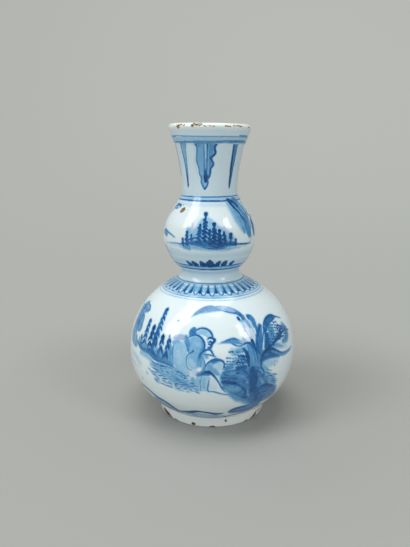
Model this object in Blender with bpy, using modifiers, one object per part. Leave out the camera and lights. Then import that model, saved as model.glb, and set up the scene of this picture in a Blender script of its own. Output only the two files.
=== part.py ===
# Double-gourd vase: two bulbs with a pinched waist, a trumpet neck, a collared lip and a low foot.
# It is glazed earthenware. Six sections are thrown on the wheel one by one, set on each other mouth
# to mouth with slip, and fired into one pot. Each section is a turned solid with flat seam faces.
# Units are metres and +Z is up. The origin is the centre of the face that the foot stands on.
import math

import bpy
import numpy as np
from mathutils import Vector
from mathutils.geometry import interpolate_bezier

# Heights of the six sections, from the foot up
FOOT_HEIGHT = 0.0070
LOWER_BULB_HEIGHT = 0.0914
WAIST_HEIGHT = 0.0066
UPPER_BULB_HEIGHT = 0.0493
NECK_HEIGHT = 0.0332
COLLAR_HEIGHT = 0.0125

# Outer radii, from the foot up. The foot leans in from the bulb's base by a little at its standing face.
LOWER_BASE_RADIUS = 0.0386
FOOT_LEANS_IN = 0.0004
LOWER_BELLY_RADIUS = 0.0589
WAIST_RADIUS = 0.0208
UPPER_BASE_RADIUS = 0.0220
UPPER_BELLY_RADIUS = 0.0318
NECK_RADIUS = 0.0188
NECK_MOUTH_RADIUS = 0.0232
COLLAR_RADIUS = 0.0239
LIP_RADIUS = 0.0273

# Where each bulb is widest, above its own base
LOWER_BELLY_HEIGHT = 0.0370
UPPER_BELLY_HEIGHT = 0.0195

# Fullness of the curves: how far each arc holds its direction at its ends, and that direction's slope
LOWER_BASE_FULLNESS = 0.0188
LOWER_BASE_SLOPE = math.radians(38)
LOWER_BELLY_FULLNESS_BELOW = 0.0122
LOWER_BELLY_FULLNESS_ABOVE = 0.0400
LOWER_SHOULDER_FULLNESS = 0.0077
LOWER_SHOULDER_SLOPE = math.radians(38.5)
UPPER_BASE_FULLNESS = 0.0074
UPPER_BASE_SLOPE = math.radians(39.5)
UPPER_BELLY_FULLNESS_BELOW = 0.0054
UPPER_BELLY_FULLNESS_ABOVE = 0.0124
UPPER_SHOULDER_FULLNESS = 0.0174
UPPER_SHOULDER_SLOPE = math.radians(58.5)
WAIST_FULLNESS = 0.0022
NECK_FULLNESS = 0.0120
NECK_MOUTH_SLOPE = math.radians(76)

# Walls, floor and small forms
WALL_AT_FOOT = 0.0055
WALL_AT_NECK = 0.0040
FLOOR_THICKNESS = 0.0070
FLOOR_ROUND = 0.0160
FOOT_WALL = 0.0065
FOOT_EDGE_ROUND = 0.0012
COLLAR_EDGE_ROUND = 0.0006
LIP_THICKNESS = 0.0042
LIP_ROUND = 0.0026
SEAM_GAP = 0.0003

# Facets round the pot, and points along each kind of curve
TURN_STEPS = 60
BELLY_BELOW_POINTS = 7
BELLY_ABOVE_POINTS = 10
UPPER_BELOW_POINTS = 5
UPPER_ABOVE_POINTS = 8
WAIST_POINTS = 5
NECK_POINTS = 6
ROUND_POINTS = 4
LIP_POINTS = 9

# Heights of the seams between the sections, above the surface that the vase stands on
FOOT_SEAM = FOOT_HEIGHT
SHOULDER_SEAM = FOOT_SEAM + LOWER_BULB_HEIGHT
WAIST_SEAM = SHOULDER_SEAM + WAIST_HEIGHT
NECK_SEAM = WAIST_SEAM + UPPER_BULB_HEIGHT
COLLAR_SEAM = NECK_SEAM + NECK_HEIGHT
LIP_TOP = COLLAR_SEAM + COLLAR_HEIGHT

# Share of a corner's side at which the handles of a quarter-circle Bezier arc lie
QUARTER_CIRCLE_PULL = 0.5523

GLAZE_WHITE = (0.72, 0.76, 0.80, 1.0)
GLAZE_PAINTED = (0.40, 0.47, 0.60, 1.0)
GLAZE_ROUGHNESS = 0.14
GLAZE_METALLIC = 0.0


def clear_scene():
    for obj in list(bpy.data.objects):
        bpy.data.objects.remove(obj, do_unlink=True)


def slope_offset(length, slope):
    """A step of this length in a direction that climbs at this slope, as (radius, height)."""
    return np.array([math.cos(slope), math.sin(slope)]) * length


def arc(start, start_pull, end_pull, end, count):
    """Points of a Bezier arc in (radius, height), with both of its ends."""
    ends = [Vector((radius, height)) for radius, height in (start, start_pull, end_pull, end)]
    return [tuple(point) for point in interpolate_bezier(*ends, count)]


def rounded_corner(start, corner, end):
    """A quarter-circle arc that takes the place of a corner."""
    start, corner, end = (np.array(point) for point in (start, corner, end))
    start_pull = start + (corner - start) * QUARTER_CIRCLE_PULL
    end_pull = end + (corner - end) * QUARTER_CIRCLE_PULL
    return arc(start, start_pull, end_pull, end, ROUND_POINTS)


def bulb_outline(base, base_step, belly, below, above, top, top_step, below_count, above_count):
    """A bulb's outer curve upwards: one arc from its base to its belly, one on to its top."""
    base, belly, top = (np.array(point) for point in (base, belly, top))
    lower = arc(base, base + base_step, belly - (0, below), belly, below_count)
    upper = arc(belly, belly + (0, above), top + top_step * (1, -1), top, above_count)
    return lower + upper[1:]


def lower_bulb_outline():
    return bulb_outline(
        base=(LOWER_BASE_RADIUS, FOOT_SEAM),
        base_step=slope_offset(LOWER_BASE_FULLNESS, LOWER_BASE_SLOPE),
        belly=(LOWER_BELLY_RADIUS, FOOT_SEAM + LOWER_BELLY_HEIGHT),
        below=LOWER_BELLY_FULLNESS_BELOW,
        above=LOWER_BELLY_FULLNESS_ABOVE,
        top=(WAIST_RADIUS, SHOULDER_SEAM),
        top_step=slope_offset(LOWER_SHOULDER_FULLNESS, LOWER_SHOULDER_SLOPE),
        below_count=BELLY_BELOW_POINTS,
        above_count=BELLY_ABOVE_POINTS,
    )


def upper_bulb_outline():
    return bulb_outline(
        base=(UPPER_BASE_RADIUS, WAIST_SEAM),
        base_step=slope_offset(UPPER_BASE_FULLNESS, UPPER_BASE_SLOPE),
        belly=(UPPER_BELLY_RADIUS, WAIST_SEAM + UPPER_BELLY_HEIGHT),
        below=UPPER_BELLY_FULLNESS_BELOW,
        above=UPPER_BELLY_FULLNESS_ABOVE,
        top=(NECK_RADIUS, NECK_SEAM),
        top_step=slope_offset(UPPER_SHOULDER_FULLNESS, UPPER_SHOULDER_SLOPE),
        below_count=UPPER_BELOW_POINTS,
        above_count=UPPER_ABOVE_POINTS,
    )


def waist_outline():
    """The pinch: upright on the shoulder, then leaning out to the upper bulb's base."""
    low = np.array((WAIST_RADIUS, SHOULDER_SEAM))
    high = np.array((UPPER_BASE_RADIUS, WAIST_SEAM))
    lean = slope_offset(WAIST_FULLNESS, UPPER_BASE_SLOPE)
    return arc(low, low + (0, WAIST_FULLNESS), high - lean, high, WAIST_POINTS)


def neck_outline():
    """The neck's outer curve: upright where it leaves the bulb, flaring to its mouth."""
    foot = np.array((NECK_RADIUS, NECK_SEAM))
    mouth = np.array((NECK_MOUTH_RADIUS, COLLAR_SEAM))
    mouth_step = slope_offset(NECK_FULLNESS, NECK_MOUTH_SLOPE)
    return arc(foot, foot + (0, NECK_FULLNESS), mouth - mouth_step, mouth, NECK_POINTS)


def inner_outline(outer):
    """The bore's curve: each outer point moved in, square to the wall, by the wall's thickness there."""
    points = np.array(outer)
    along = np.gradient(points, axis=0)
    along /= np.linalg.norm(along, axis=1)[:, None]
    inwards = np.stack([-along[:, 1], along[:, 0]], axis=1)
    climbed = (points[:, 1] - FOOT_SEAM) / (COLLAR_SEAM - FOOT_SEAM)
    wall = WALL_AT_FOOT + (WALL_AT_NECK - WALL_AT_FOOT) * climbed
    return points + inwards * wall[:, None]


def body_bore():
    """The inside of the pot from the lower bulb to the collar seam, as (radius, height) upwards."""
    runs = (lower_bulb_outline(), waist_outline(), upper_bulb_outline(), neck_outline())
    bore = np.concatenate([inner_outline(run) for run in runs])
    return bore[np.argsort(bore[:, 1], kind="stable")]


def bore_radius(height):
    bore = body_bore()
    return float(np.interp(height, bore[:, 1], bore[:, 0]))


def bore_between(low, high):
    """The bore's points upwards from one flat seam face to the next."""
    inside = [tuple(point) for point in body_bore() if low < point[1] < high]
    return [(bore_radius(low), low), *inside, (bore_radius(high), high)]


def glaze(name, colour):
    material = bpy.data.materials.new(name)
    material.use_nodes = True
    shader = material.node_tree.nodes["Principled BSDF"]
    shader.inputs["Base Color"].default_value = colour
    shader.inputs["Roughness"].default_value = GLAZE_ROUGHNESS
    shader.inputs["Metallic"].default_value = GLAZE_METALLIC
    return material


def turn(name, profile, base, colour, pot, stand):
    """Turns a profile that runs up the bore and down the outside, and places it at its base height."""
    mesh = bpy.data.meshes.new(name)
    points = [(radius, 0.0, height - base) for radius, height in profile]
    edges = [(index, index + 1) for index in range(len(points) - 1)]
    starts_on_the_axis = profile[0][0] == 0
    if not starts_on_the_axis:
        edges.append((len(points) - 1, 0))
    mesh.from_pydata(points, edges, [])
    obj = bpy.data.objects.new(name, mesh)
    obj.location.z = base
    obj.parent = stand
    pot.objects.link(obj)
    screw = obj.modifiers.new("turned on the wheel", "SCREW")
    screw.axis = "Z"
    screw.angle = math.tau
    screw.steps = TURN_STEPS
    screw.render_steps = TURN_STEPS
    screw.use_merge_vertices = True
    screw.merge_threshold = 0.00001
    screw.use_smooth_shade = True
    mesh.materials.append(glaze(name + "_glaze", colour))
    return obj


def foot_ring_profile():
    """A low turned ring: a flat standing face with rounded edges, and a flat seam face on top."""
    outer = LOWER_BASE_RADIUS - FOOT_LEANS_IN
    inner = outer - FOOT_WALL
    edge = FOOT_EDGE_ROUND
    inside = rounded_corner((inner + edge, 0), (inner, 0), (inner, edge))
    outside = rounded_corner((outer, edge), (outer, 0), (outer - edge, 0))
    return [*inside, (inner, FOOT_SEAM), (LOWER_BASE_RADIUS, FOOT_SEAM), *outside]


def lower_bulb_profile():
    """The wide bulb with its floor: from the floor's centre up the bore, and down the outside."""
    base = FOOT_SEAM + SEAM_GAP
    floor = base + FLOOR_THICKNESS
    corner = floor + FLOOR_ROUND
    reach = bore_radius(corner)
    dish = rounded_corner((reach - FLOOR_ROUND, floor), (reach, floor), (reach, corner))
    outside = [point for point in lower_bulb_outline() if point[1] > base][::-1]
    return [(0, floor), *dish, *bore_between(corner, SHOULDER_SEAM)[1:], *outside, (LOWER_BASE_RADIUS, base), (0, base)]


def waist_profile():
    """The short pinched collar that carries the upper bulb."""
    low = SHOULDER_SEAM + SEAM_GAP
    outside = [point for point in waist_outline() if point[1] > low][::-1]
    return [*bore_between(low, WAIST_SEAM), *outside, (WAIST_RADIUS, low)]


def upper_bulb_profile():
    low = WAIST_SEAM + SEAM_GAP
    outside = [point for point in upper_bulb_outline() if point[1] > low][::-1]
    return [*bore_between(low, NECK_SEAM), *outside, (UPPER_BASE_RADIUS, low)]


def neck_profile():
    low = NECK_SEAM + SEAM_GAP
    outside = [point for point in neck_outline() if point[1] > low][::-1]
    return [*bore_between(low, COLLAR_SEAM), *outside, (NECK_RADIUS, low)]


def lip_profile():
    """The collar: it stands a little proud of the neck, flares upwards and ends in a thick round lip."""
    low = COLLAR_SEAM + SEAM_GAP
    edge = COLLAR_EDGE_ROUND
    middle = LIP_RADIUS - LIP_THICKNESS / 2
    shoulder = LIP_TOP - LIP_ROUND
    turns = [math.pi * (1 - step / (LIP_POINTS - 1)) for step in range(LIP_POINTS)]
    lip = [(middle + LIP_THICKNESS / 2 * math.cos(a), shoulder + LIP_ROUND * math.sin(a)) for a in turns]
    under = [(COLLAR_RADIUS, low + edge), (COLLAR_RADIUS - edge, low)]
    return [(bore_radius(COLLAR_SEAM), low), *lip, *under]


def build():
    clear_scene()
    pot = bpy.data.collections.new("double_gourd_vase")
    bpy.context.scene.collection.children.link(pot)
    stand = bpy.data.objects.new("standing_centre", None)
    pot.objects.link(stand)
    turn("foot_ring", foot_ring_profile(), 0.0, GLAZE_WHITE, pot, stand)
    turn("lower_bulb", lower_bulb_profile(), FOOT_SEAM, GLAZE_PAINTED, pot, stand)
    turn("waist_collar", waist_profile(), SHOULDER_SEAM, GLAZE_WHITE, pot, stand)
    turn("upper_bulb", upper_bulb_profile(), WAIST_SEAM, GLAZE_PAINTED, pot, stand)
    turn("neck", neck_profile(), NECK_SEAM, GLAZE_PAINTED, pot, stand)
    turn("lip_collar", lip_profile(), COLLAR_SEAM, GLAZE_WHITE, pot, stand)


build()
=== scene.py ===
from math import cos, pi, radians, sin, tau

import bpy
import numpy as np
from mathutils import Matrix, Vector, noise
from mathutils.geometry import interpolate_bezier


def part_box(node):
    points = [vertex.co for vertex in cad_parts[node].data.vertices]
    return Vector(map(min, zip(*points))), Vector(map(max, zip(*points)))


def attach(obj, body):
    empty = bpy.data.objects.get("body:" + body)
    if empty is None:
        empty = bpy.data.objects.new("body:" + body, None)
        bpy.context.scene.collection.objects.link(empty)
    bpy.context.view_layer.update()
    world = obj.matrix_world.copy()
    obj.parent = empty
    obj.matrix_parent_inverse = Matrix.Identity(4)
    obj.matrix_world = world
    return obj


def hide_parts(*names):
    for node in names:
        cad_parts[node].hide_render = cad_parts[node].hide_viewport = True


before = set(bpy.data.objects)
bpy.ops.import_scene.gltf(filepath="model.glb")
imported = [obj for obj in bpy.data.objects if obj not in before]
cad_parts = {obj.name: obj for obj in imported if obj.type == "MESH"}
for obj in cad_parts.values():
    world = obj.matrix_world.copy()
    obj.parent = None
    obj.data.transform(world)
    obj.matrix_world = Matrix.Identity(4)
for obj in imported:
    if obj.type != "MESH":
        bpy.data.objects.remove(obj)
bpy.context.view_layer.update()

MM = 0.001

# The camera
# It stands about 350 mm in front of the vase, nearly as high as its lip, and looks down at it.
# From so near, the shoulder's painted collar shows as an open ring and the foot as a deep curve.
PHOTO_SIZE = (410, 547)
PHOTO_CENTRE = (205.0, 273.5)
FOCAL_LENGTH_PIXELS = 517.8
SENSOR = 36.0
CAMERA_PITCH = 0.2422
CAMERA_PLACE = np.array((-5.0, -354.6, 186.0))

camera_data = bpy.data.cameras.new("camera")
camera_data.sensor_width = SENSOR
camera_data.lens = FOCAL_LENGTH_PIXELS * SENSOR / PHOTO_SIZE[1]
camera = bpy.data.objects.new("camera", camera_data)
camera.location = CAMERA_PLACE * MM
camera.rotation_euler = (pi / 2 - CAMERA_PITCH, 0, 0)
bpy.context.scene.collection.objects.link(camera)
bpy.context.scene.camera = camera
bpy.context.scene.view_settings.view_transform = "Standard"

# The foot ring
# A low ring turned on the wheel and luted under the lower bulb. It is white tin glaze over a buff
# body, wiped bare where it stands, with small chips knocked out of its edge.
FOOT_RADIUS = 38.2
FOOT_WALL = 6.5
FOOT_EDGE_ROUND = 1.2
LOWER_BASE_RADIUS = 38.6
# The slip in the seam between two sections, in mm
SLIP = 0.3
FOOT_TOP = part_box("lower_bulb")[0].z / MM - SLIP

# The upper pot was set a little to the left when it was luted on. It moves over at the shoulder.
LEAN_STARTS = 80.0
LEAN_ENDS = 113.0
LEAN = -1.85

# The rim is lower at the right. The tilt begins in the neck, and the rim's left edge stays where it is.
TILT_STARTS = 160.0
TILT_ENDS = 187.0
TILT = 0.0157
TILT_CENTRE = -27.3

# A place with no paint or chip near it is this far from them, in mm
FAR = 3.0
# What one pixel of the photograph covers on the vase, in mm
PIXEL = 0.69
# How far from the camera a line of sight is searched for the vase, in mm
NEAREST, FARTHEST = 280, 400
# The rings that the potter's fingers left: how far they stand out and how far apart they are, in mm
THROWING_RIPPLE = 0.12
RIPPLE_SPACING = 5.0
# How wide the slope is from the glaze down into a chip, in mm
CHIP_SLOPE = 0.35
# Points of a section closer than this are one, in metres
MERGE_DISTANCE = 0.000005
SHARP_EDGE_DEGREES = 40
# The layout for the bake goes a little past one turn, where a face crosses the back
BAKE_SPAN = 1.01
QUARTER_CIRCLE_PULL = 0.5523


def arc(start, start_pull, end_pull, end, count=24):
    """Points of a Bezier arc in (radius, height), with both of its ends."""
    ends = [Vector((radius, height)) for radius, height in (start, start_pull, end_pull, end)]
    return [tuple(point) for point in interpolate_bezier(*ends, count)]


def slope_step(length, slope_degrees):
    """A step of this length in a direction that climbs at this slope, as (radius, height)."""
    return np.array((cos(radians(slope_degrees)), sin(radians(slope_degrees)))) * length


def rounded_corner(start, corner, end, count=7):
    """A quarter-circle arc that takes the place of a corner."""
    start, corner, end = (np.array(point) for point in (start, corner, end))
    pull = QUARTER_CIRCLE_PULL
    return arc(start, start + (corner - start) * pull, end + (corner - end) * pull, end, count)


def evenly(points, count):
    """The same line with this many points at equal steps along it."""
    points = np.array(points)
    run = np.concatenate([[0], np.cumsum(np.linalg.norm(np.diff(points, axis=0), axis=1))])
    steps = np.linspace(0, run[-1], count)
    return np.stack([np.interp(steps, run, points[:, 0]), np.interp(steps, run, points[:, 1])], axis=1)


def lean_at(height):
    """How far the pot has moved to the side at this height, in mm."""
    climbed = np.clip((height - LEAN_STARTS) / (LEAN_ENDS - LEAN_STARTS), 0, 1)
    return LEAN * climbed * climbed * (3 - 2 * climbed)


def sunk_by_tilt(across, height):
    """How far a place in the neck or the collar has gone down, in mm."""
    climbed = np.clip((height - TILT_STARTS) / (TILT_ENDS - TILT_STARTS), 0, 1)
    return TILT * (across - TILT_CENTRE) * climbed * climbed * (3 - 2 * climbed)


def smooth(points, closed=False, steps=7):
    """A flowing line through a few places, as a hand draws it."""
    points = np.array(points, float)
    if len(points) < 3:
        return np.linspace(points[0], points[-1], steps)
    if closed:
        before, after = points[-1:], points[:2]
    else:
        before, after = 2 * points[:1] - points[1:2], 2 * points[-1:] - points[-2:-1]
    line = np.concatenate([before, points, after])
    spans = []
    for a, b, c, d in zip(line, line[1:], line[2:], line[3:]):
        square, cube = 2 * a - 5 * b + 4 * c - d, 3 * b - a - 3 * c + d
        for t in np.linspace(0, 1, steps, endpoint=False):
            spans.append(0.5 * (2 * b + (c - a) * t + square * t**2 + cube * t**3))
    return np.array(spans if closed else spans + [points[-1]])


class Surface:
    """One thrown piece and what has been done to its outer face: its paint, its stains and its chips."""

    def __init__(self, name, outside, bore, front_steps, back_steps, under=()):
        """Turns the piece from its underside, outside and bore, given upwards as (radius, height) in mm."""
        self.outline = np.array(outside)
        section = np.concatenate([np.array(under).reshape(-1, 2), outside, bore[::-1]])
        self.obj = self.throw(name, section, len(under), front_steps, back_steps)
        mesh = self.obj.data
        self.places = np.empty(len(mesh.vertices) * 3)
        mesh.vertices.foreach_get("co", self.places)
        self.places = self.places.reshape(-1, 3) / MM
        self.angle = np.arctan2(self.places[:, 0], -self.places[:, 1])
        self.height = self.places[:, 2].copy()
        self.run = np.empty(len(mesh.vertices))
        mesh.attributes["run"].data.foreach_get("value", self.run)
        self.painted = (self.run > self.run_of_outside[0]) & (self.run < self.run_of_outside[1])
        blank, far = np.zeros(len(self.run)), np.full(len(self.run), FAR)
        self.layers = {
            "ink": far.copy(), "ink_tone": blank.copy(),
            "wash": far.copy(), "wash_tone": blank.copy(),
            "bare": far.copy(), "haze_and_shade": blank.copy(), "lilac_and_highlight": blank.copy(), "lift": blank.copy(),
            "thin_and_highlight": blank.copy(),
        }
        self.sunk = blank.copy()
        self.turn, self.flip = 0, 1
        self.lay_out_for_the_bake()

    def throw(self, name, section, under, front_steps, back_steps):
        """Turns the section about the pot's axis, in finer steps round the front than round the back."""
        run = np.concatenate([[0], np.cumsum(np.linalg.norm(np.diff(section, axis=0), axis=1))])
        self.run_of_outside = run[under] - 1e-4, run[under + len(self.outline) - 1] + 1e-4
        self.whole_run = run[-1] + np.linalg.norm(section[-1] - section[0])
        places = np.stack([-section[:, 0], np.zeros(len(section)), section[:, 1]], axis=1) * MM
        halves = []
        for steps, turn in ((front_steps, pi), (back_steps, -pi)):
            bpy.ops.object.select_all(action="DESELECT")
            bpy.ops.mesh.primitive_circle_add(vertices=len(section), fill_type="NOTHING")
            half = bpy.context.object
            half.data.vertices.foreach_set("co", places.ravel())
            half.data.attributes.new("run", "FLOAT", "POINT").data.foreach_set("value", run)
            screw = half.modifiers.new("turned on the wheel", "SCREW")
            screw.angle = turn
            screw.steps = screw.render_steps = steps
            bpy.ops.object.modifier_apply(modifier=screw.name)
            halves.append(half)
        for half in halves:
            half.select_set(True)
        bpy.ops.object.join()
        obj = bpy.context.object
        obj.name = obj.data.name = name
        bpy.ops.object.mode_set(mode="EDIT")
        bpy.ops.mesh.select_all(action="SELECT")
        bpy.ops.mesh.remove_doubles(threshold=MERGE_DISTANCE)
        bpy.ops.mesh.delete_loose(use_verts=True, use_edges=True, use_faces=False)
        bpy.ops.mesh.select_all(action="SELECT")
        bpy.ops.mesh.normals_make_consistent(inside=False)
        bpy.ops.object.mode_set(mode="OBJECT")
        bpy.ops.object.shade_smooth_by_angle(angle=radians(SHARP_EDGE_DEGREES))
        return obj

    def lay_out_for_the_bake(self):
        """Unrolls the piece: round the pot across the picture, and along its section up it."""
        mesh = self.obj.data
        corner_vertex = np.empty(len(mesh.loops), int)
        mesh.loops.foreach_get("vertex_index", corner_vertex)
        sizes = np.empty(len(mesh.polygons), int)
        mesh.polygons.foreach_get("loop_total", sizes)
        face = np.repeat(np.arange(len(sizes)), sizes)
        across = (self.angle[corner_vertex] + pi) / tau
        up = self.run[corner_vertex] / self.whole_run
        for line, span in ((across, 0.5), (up, 0.5)):
            widest = np.full(len(sizes), -1.0)
            np.maximum.at(widest, face, line)
            line[(widest[face] - line) > span] += 1
        on_the_axis = np.hypot(*self.places[corner_vertex, :2].T) < 0.01
        total, count = np.zeros(len(sizes)), np.zeros(len(sizes))
        np.add.at(total, face, np.where(on_the_axis, 0, across))
        np.add.at(count, face, ~on_the_axis)
        across = np.where(on_the_axis, (total / np.maximum(count, 1))[face], across)
        layer = mesh.uv_layers.new(name="OFBake")
        layer.data.foreach_set("uv", (np.stack([across, up], axis=1) / BAKE_SPAN).ravel())

    def radius(self, height):
        """The outside's radius at this height."""
        return np.interp(height, self.outline[:, 1], self.outline[:, 0])

    def around(self, points, closed=False):
        """A line through places given as degrees to the right of the front, and height in mm."""
        line = smooth(points, closed) if len(points) > 1 else np.array(points, float)
        angle, height = np.radians(line[:, 0]), line[:, 1]
        radius = self.radius(height)
        return np.stack([radius * np.sin(angle), -radius * np.cos(angle), height], axis=1)

    def seen(self, points, closed=False):
        """A line through places given as pixels of the photograph, cast from the camera onto the piece.
        It can then be turned round the pot by some degrees, and flipped left for right."""
        line = smooth(points, closed) if len(points) > 1 else np.array(points, float)
        right = (line[:, 0] - PHOTO_CENTRE[0]) / FOCAL_LENGTH_PIXELS
        up = (PHOTO_CENTRE[1] - line[:, 1]) / FOCAL_LENGTH_PIXELS
        ahead = np.array((0, cos(CAMERA_PITCH), -sin(CAMERA_PITCH)))
        above = np.array((0, sin(CAMERA_PITCH), cos(CAMERA_PITCH)))
        rays = ahead + right[:, None] * np.array((1, 0, 0)) + up[:, None] * above
        depths = np.linspace(NEAREST, FARTHEST, 1201)
        along = CAMERA_PLACE + rays[:, None] * depths[:, None]
        x, y, z = along[..., 0] - lean_at(along[..., 2]), along[..., 1], along[..., 2]
        z = z + sunk_by_tilt(x, z)
        low, high = self.outline[0, 1], self.outline[-1, 1]
        gap = np.hypot(x, y) - self.radius(z) + np.maximum(low - z, 0) + np.maximum(z - high, 0)
        first = np.where((gap < 0).any(axis=1), (gap < 0).argmax(axis=1), gap.argmin(axis=1))
        pick = np.arange(len(line)), first
        angle = np.arctan2(x[pick], -y[pick]) * self.flip + radians(self.turn)
        height = np.clip(z[pick], low, high)
        radius = self.radius(height)
        return np.stack([radius * np.sin(angle), -radius * np.cos(angle), height], axis=1)

    def near(self, path, reach):
        """The painted vertices within reach of a path."""
        angle = np.unwrap(np.arctan2(path[:, 0], -path[:, 1]))
        middle, half_span = (angle.min() + angle.max()) / 2, (angle.max() - angle.min()) / 2
        off = np.abs((self.angle - middle + pi) % tau - pi)
        radius = np.maximum(np.hypot(self.places[:, 0], self.places[:, 1]), 1)
        level = (self.height > path[:, 2].min() - reach) & (self.height < path[:, 2].max() + reach)
        return np.flatnonzero(self.painted & level & (off < half_span + reach / radius))

    def gaps(self, path, widths, reach=FAR):
        """How far the vertices near a path are from a stroke of these widths along it, and how far along."""
        shares = np.linspace(0, 1, len(path))
        half = np.interp(shares, np.linspace(0, 1, len(widths)), widths) / 2
        index = self.near(path, reach + half.max())
        start, along = path[:-1], np.diff(path, axis=0)
        squared = (along**2).sum(axis=1) + 1e-9
        offset = self.places[index][:, None] - start
        t = np.clip((offset * along).sum(axis=2) / squared, 0, 1)
        gap = np.linalg.norm(offset - along * t[..., None], axis=2) - (half[:-1] + t * np.diff(half))
        rows = np.arange(len(index)), gap.argmin(axis=1)
        return index, gap[rows], (rows[1] + t[rows]) / len(along)

    def rim_gaps(self, rim, reach=FAR):
        """The same for a filled patch inside a closed rim, less than nothing inside it."""
        rim = np.concatenate([rim, rim[:1]])
        index = self.near(rim, reach)
        start, along = rim[:-1], np.diff(rim, axis=0)
        offset = self.places[index][:, None] - start
        t = np.clip((offset * along).sum(axis=2) / ((along**2).sum(axis=1) + 1e-9), 0, 1)
        gap = np.linalg.norm(offset - along * t[..., None], axis=2).min(axis=1)
        angle = np.unwrap(np.arctan2(rim[:, 0], -rim[:, 1]))
        here = (self.angle[index] - angle.mean() + pi) % tau - pi + angle.mean()
        level = self.height[index]
        inside = np.zeros(len(index), bool)
        for a0, h0, a1, h1 in zip(angle[:-1], rim[:-1, 2], angle[1:], rim[1:, 2]):
            if h0 != h1:
                crosses = (h0 > level) != (h1 > level)
                inside ^= crosses & (here < a0 + (level - h0) * (a1 - a0) / (h1 - h0))
        return index, np.where(inside, -gap, gap)

    def lay(self, layer, index, gap, tone):
        """Adds a stroke to an edged layer. Where strokes meet, the nearer one gives the tone."""
        nearer = gap < self.layers[layer][index]
        self.layers[layer][index[nearer]] = np.maximum(gap, -FAR)[nearer]
        self.layers[layer + "_tone"][index[nearer]] = np.broadcast_to(tone, gap.shape)[nearer]

    def stroke(self, path, widths, tones, layer="ink"):
        """A brush stroke. Its widths in mm and its tones are each one number or several along it."""
        index, gap, share = self.gaps(path, np.atleast_1d(widths))
        tones = np.atleast_1d(tones)
        self.lay(layer, index, gap, np.interp(share, np.linspace(0, 1, len(tones)), tones))

    def patch(self, rim, tone, layer="wash"):
        """A filled shape."""
        self.lay(layer, *self.rim_gaps(rim), tone)

    def spread(self, path, width, tone, softness, layer="haze_and_shade", filled=False):
        """A stain with a blurred edge this wide, along a path or filling a closed rim."""
        reach = softness * 0.6
        if filled:
            index, gap = self.rim_gaps(path, reach)
        else:
            index, gap, _ = self.gaps(path, np.atleast_1d(width), reach)
        strength = np.clip(0.5 - gap / softness, 0, 1)
        strength = tone * strength * strength * (3 - 2 * strength)
        self.layers[layer][index] = np.maximum(self.layers[layer][index], strength)

    def paint(self, rows, layer="ink"):
        """Several strokes at once, each as its places in the photograph, its widths and its tones."""
        for points, widths, tones in rows:
            self.stroke(self.seen(points), widths, tones, layer)

    def fill(self, rows):
        """Several washes at once, each as its rim in the photograph and its tone."""
        for rim, tone in rows:
            self.patch(self.seen(rim, closed=True), tone)

    def stain(self, rows, layer="haze_and_shade"):
        """Several soft stains at once, each as its places, its width, its tone and its blur, in pixels."""
        for points, width, tone, blur in rows:
            self.spread(self.seen(points), np.array(width) * PIXEL, tone, blur * PIXEL, layer)

    def pool(self, rows):
        """Several washes with blurred edges at once, each as its rim, its tone and its blur, in pixels."""
        for rim, tone, blur in rows:
            self.spread(self.seen(rim, closed=True), 0, tone, blur * PIXEL, filled=True)

    def chip(self, path, widths, depth, grain=0.5):
        """Glaze flaked off along a path: the buff body shows, and it lies this deep."""
        index, gap, _ = self.gaps(path, np.atleast_1d(widths))
        rough = np.array([noise.noise(Vector(place) * 1.3) for place in self.places[index]])
        gap = gap + rough * grain
        self.layers["bare"][index] = np.minimum(self.layers["bare"][index], gap)
        self.sunk[index] = np.maximum(self.sunk[index], depth * np.clip(-gap / CHIP_SLOPE, 0, 1))

    def finish(self):
        """Writes the layers onto the mesh, sinks the chips, and moves the piece over by the lean."""
        mesh = self.obj.data
        for name, values in self.layers.items():
            mesh.attributes.new(name, "FLOAT", "POINT").data.foreach_set("value", values)
        normals = np.empty(len(mesh.vertices) * 3)
        mesh.vertices.foreach_get("normal", normals)
        places = self.places - normals.reshape(-1, 3) * self.sunk[:, None]
        levels = np.linspace(0, 200, 401)
        ripple = np.array([noise.noise(Vector((0, 0, level / RIPPLE_SPACING))) for level in levels])
        ripple = np.interp(self.height, levels, ripple * THROWING_RIPPLE)
        radius = np.maximum(np.hypot(places[:, 0], places[:, 1]), 1e-6)
        places[:, :2] *= (1 + np.where(radius > 1, ripple, 0) / radius)[:, None]
        places[:, 2] -= sunk_by_tilt(places[:, 0], self.height)
        places[:, 0] += lean_at(self.height)
        mesh.vertices.foreach_set("co", (places * MM).ravel())
        mesh.update()


def linear(hex_colour):
    """A colour written as sRGB hex, as the linear values that a shader takes."""
    parts = [int(hex_colour[place:place + 2], 16) / 255 for place in (1, 3, 5)]
    return tuple(p / 12.92 if p <= 0.04045 else ((p + 0.055) / 1.055) ** 2.4 for p in parts) + (1.0,)


def add(tree, kind, *values, out=0, **settings):
    """Adds a node with its settings and links, and gives one of its outputs. Each value is a plain one or
    another node's output. They come in the order of the node's inputs, or in a dict that names the inputs."""
    node = tree.nodes.new("ShaderNode" + kind)
    for name, value in settings.items():
        setattr(node, name, value)
    sockets = values[0] if values and isinstance(values[0], dict) else dict(enumerate(values))
    for socket, value in sockets.items():
        if isinstance(value, bpy.types.NodeSocket):
            tree.links.new(value, node.inputs[socket])
        else:
            node.inputs[socket].default_value = value
    return node.outputs[out]


# Colours of the cobalt paint under the glaze, from none to the deepest
COBALT_TONES = (
    (0.0, "#E0EEF1"), (0.12, "#C4DDEA"), (0.3, "#8CBEDD"),
    (0.5, "#5697C6"), (0.75, "#1F65A4"), (1.0, "#053D74"),
)
# Pale lilac, partly cobalt that fired to a lilac and partly a painted highlight where the lamps'
# highlights fall on the paint
LILAC_AND_HIGHLIGHT = linear("#B4B9DC")
# The light and dark grains of the buff body, clean in a chip. On the foot they are darker, with dirt
# where the vase has stood and painted shade in the chips along its bottom edge
BISCUIT = (linear("#AE9A7A"), linear("#453A2C"))
DIRTY_AND_SHADED_BISCUIT = (linear("#75685A"), linear("#26221D"))
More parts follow.
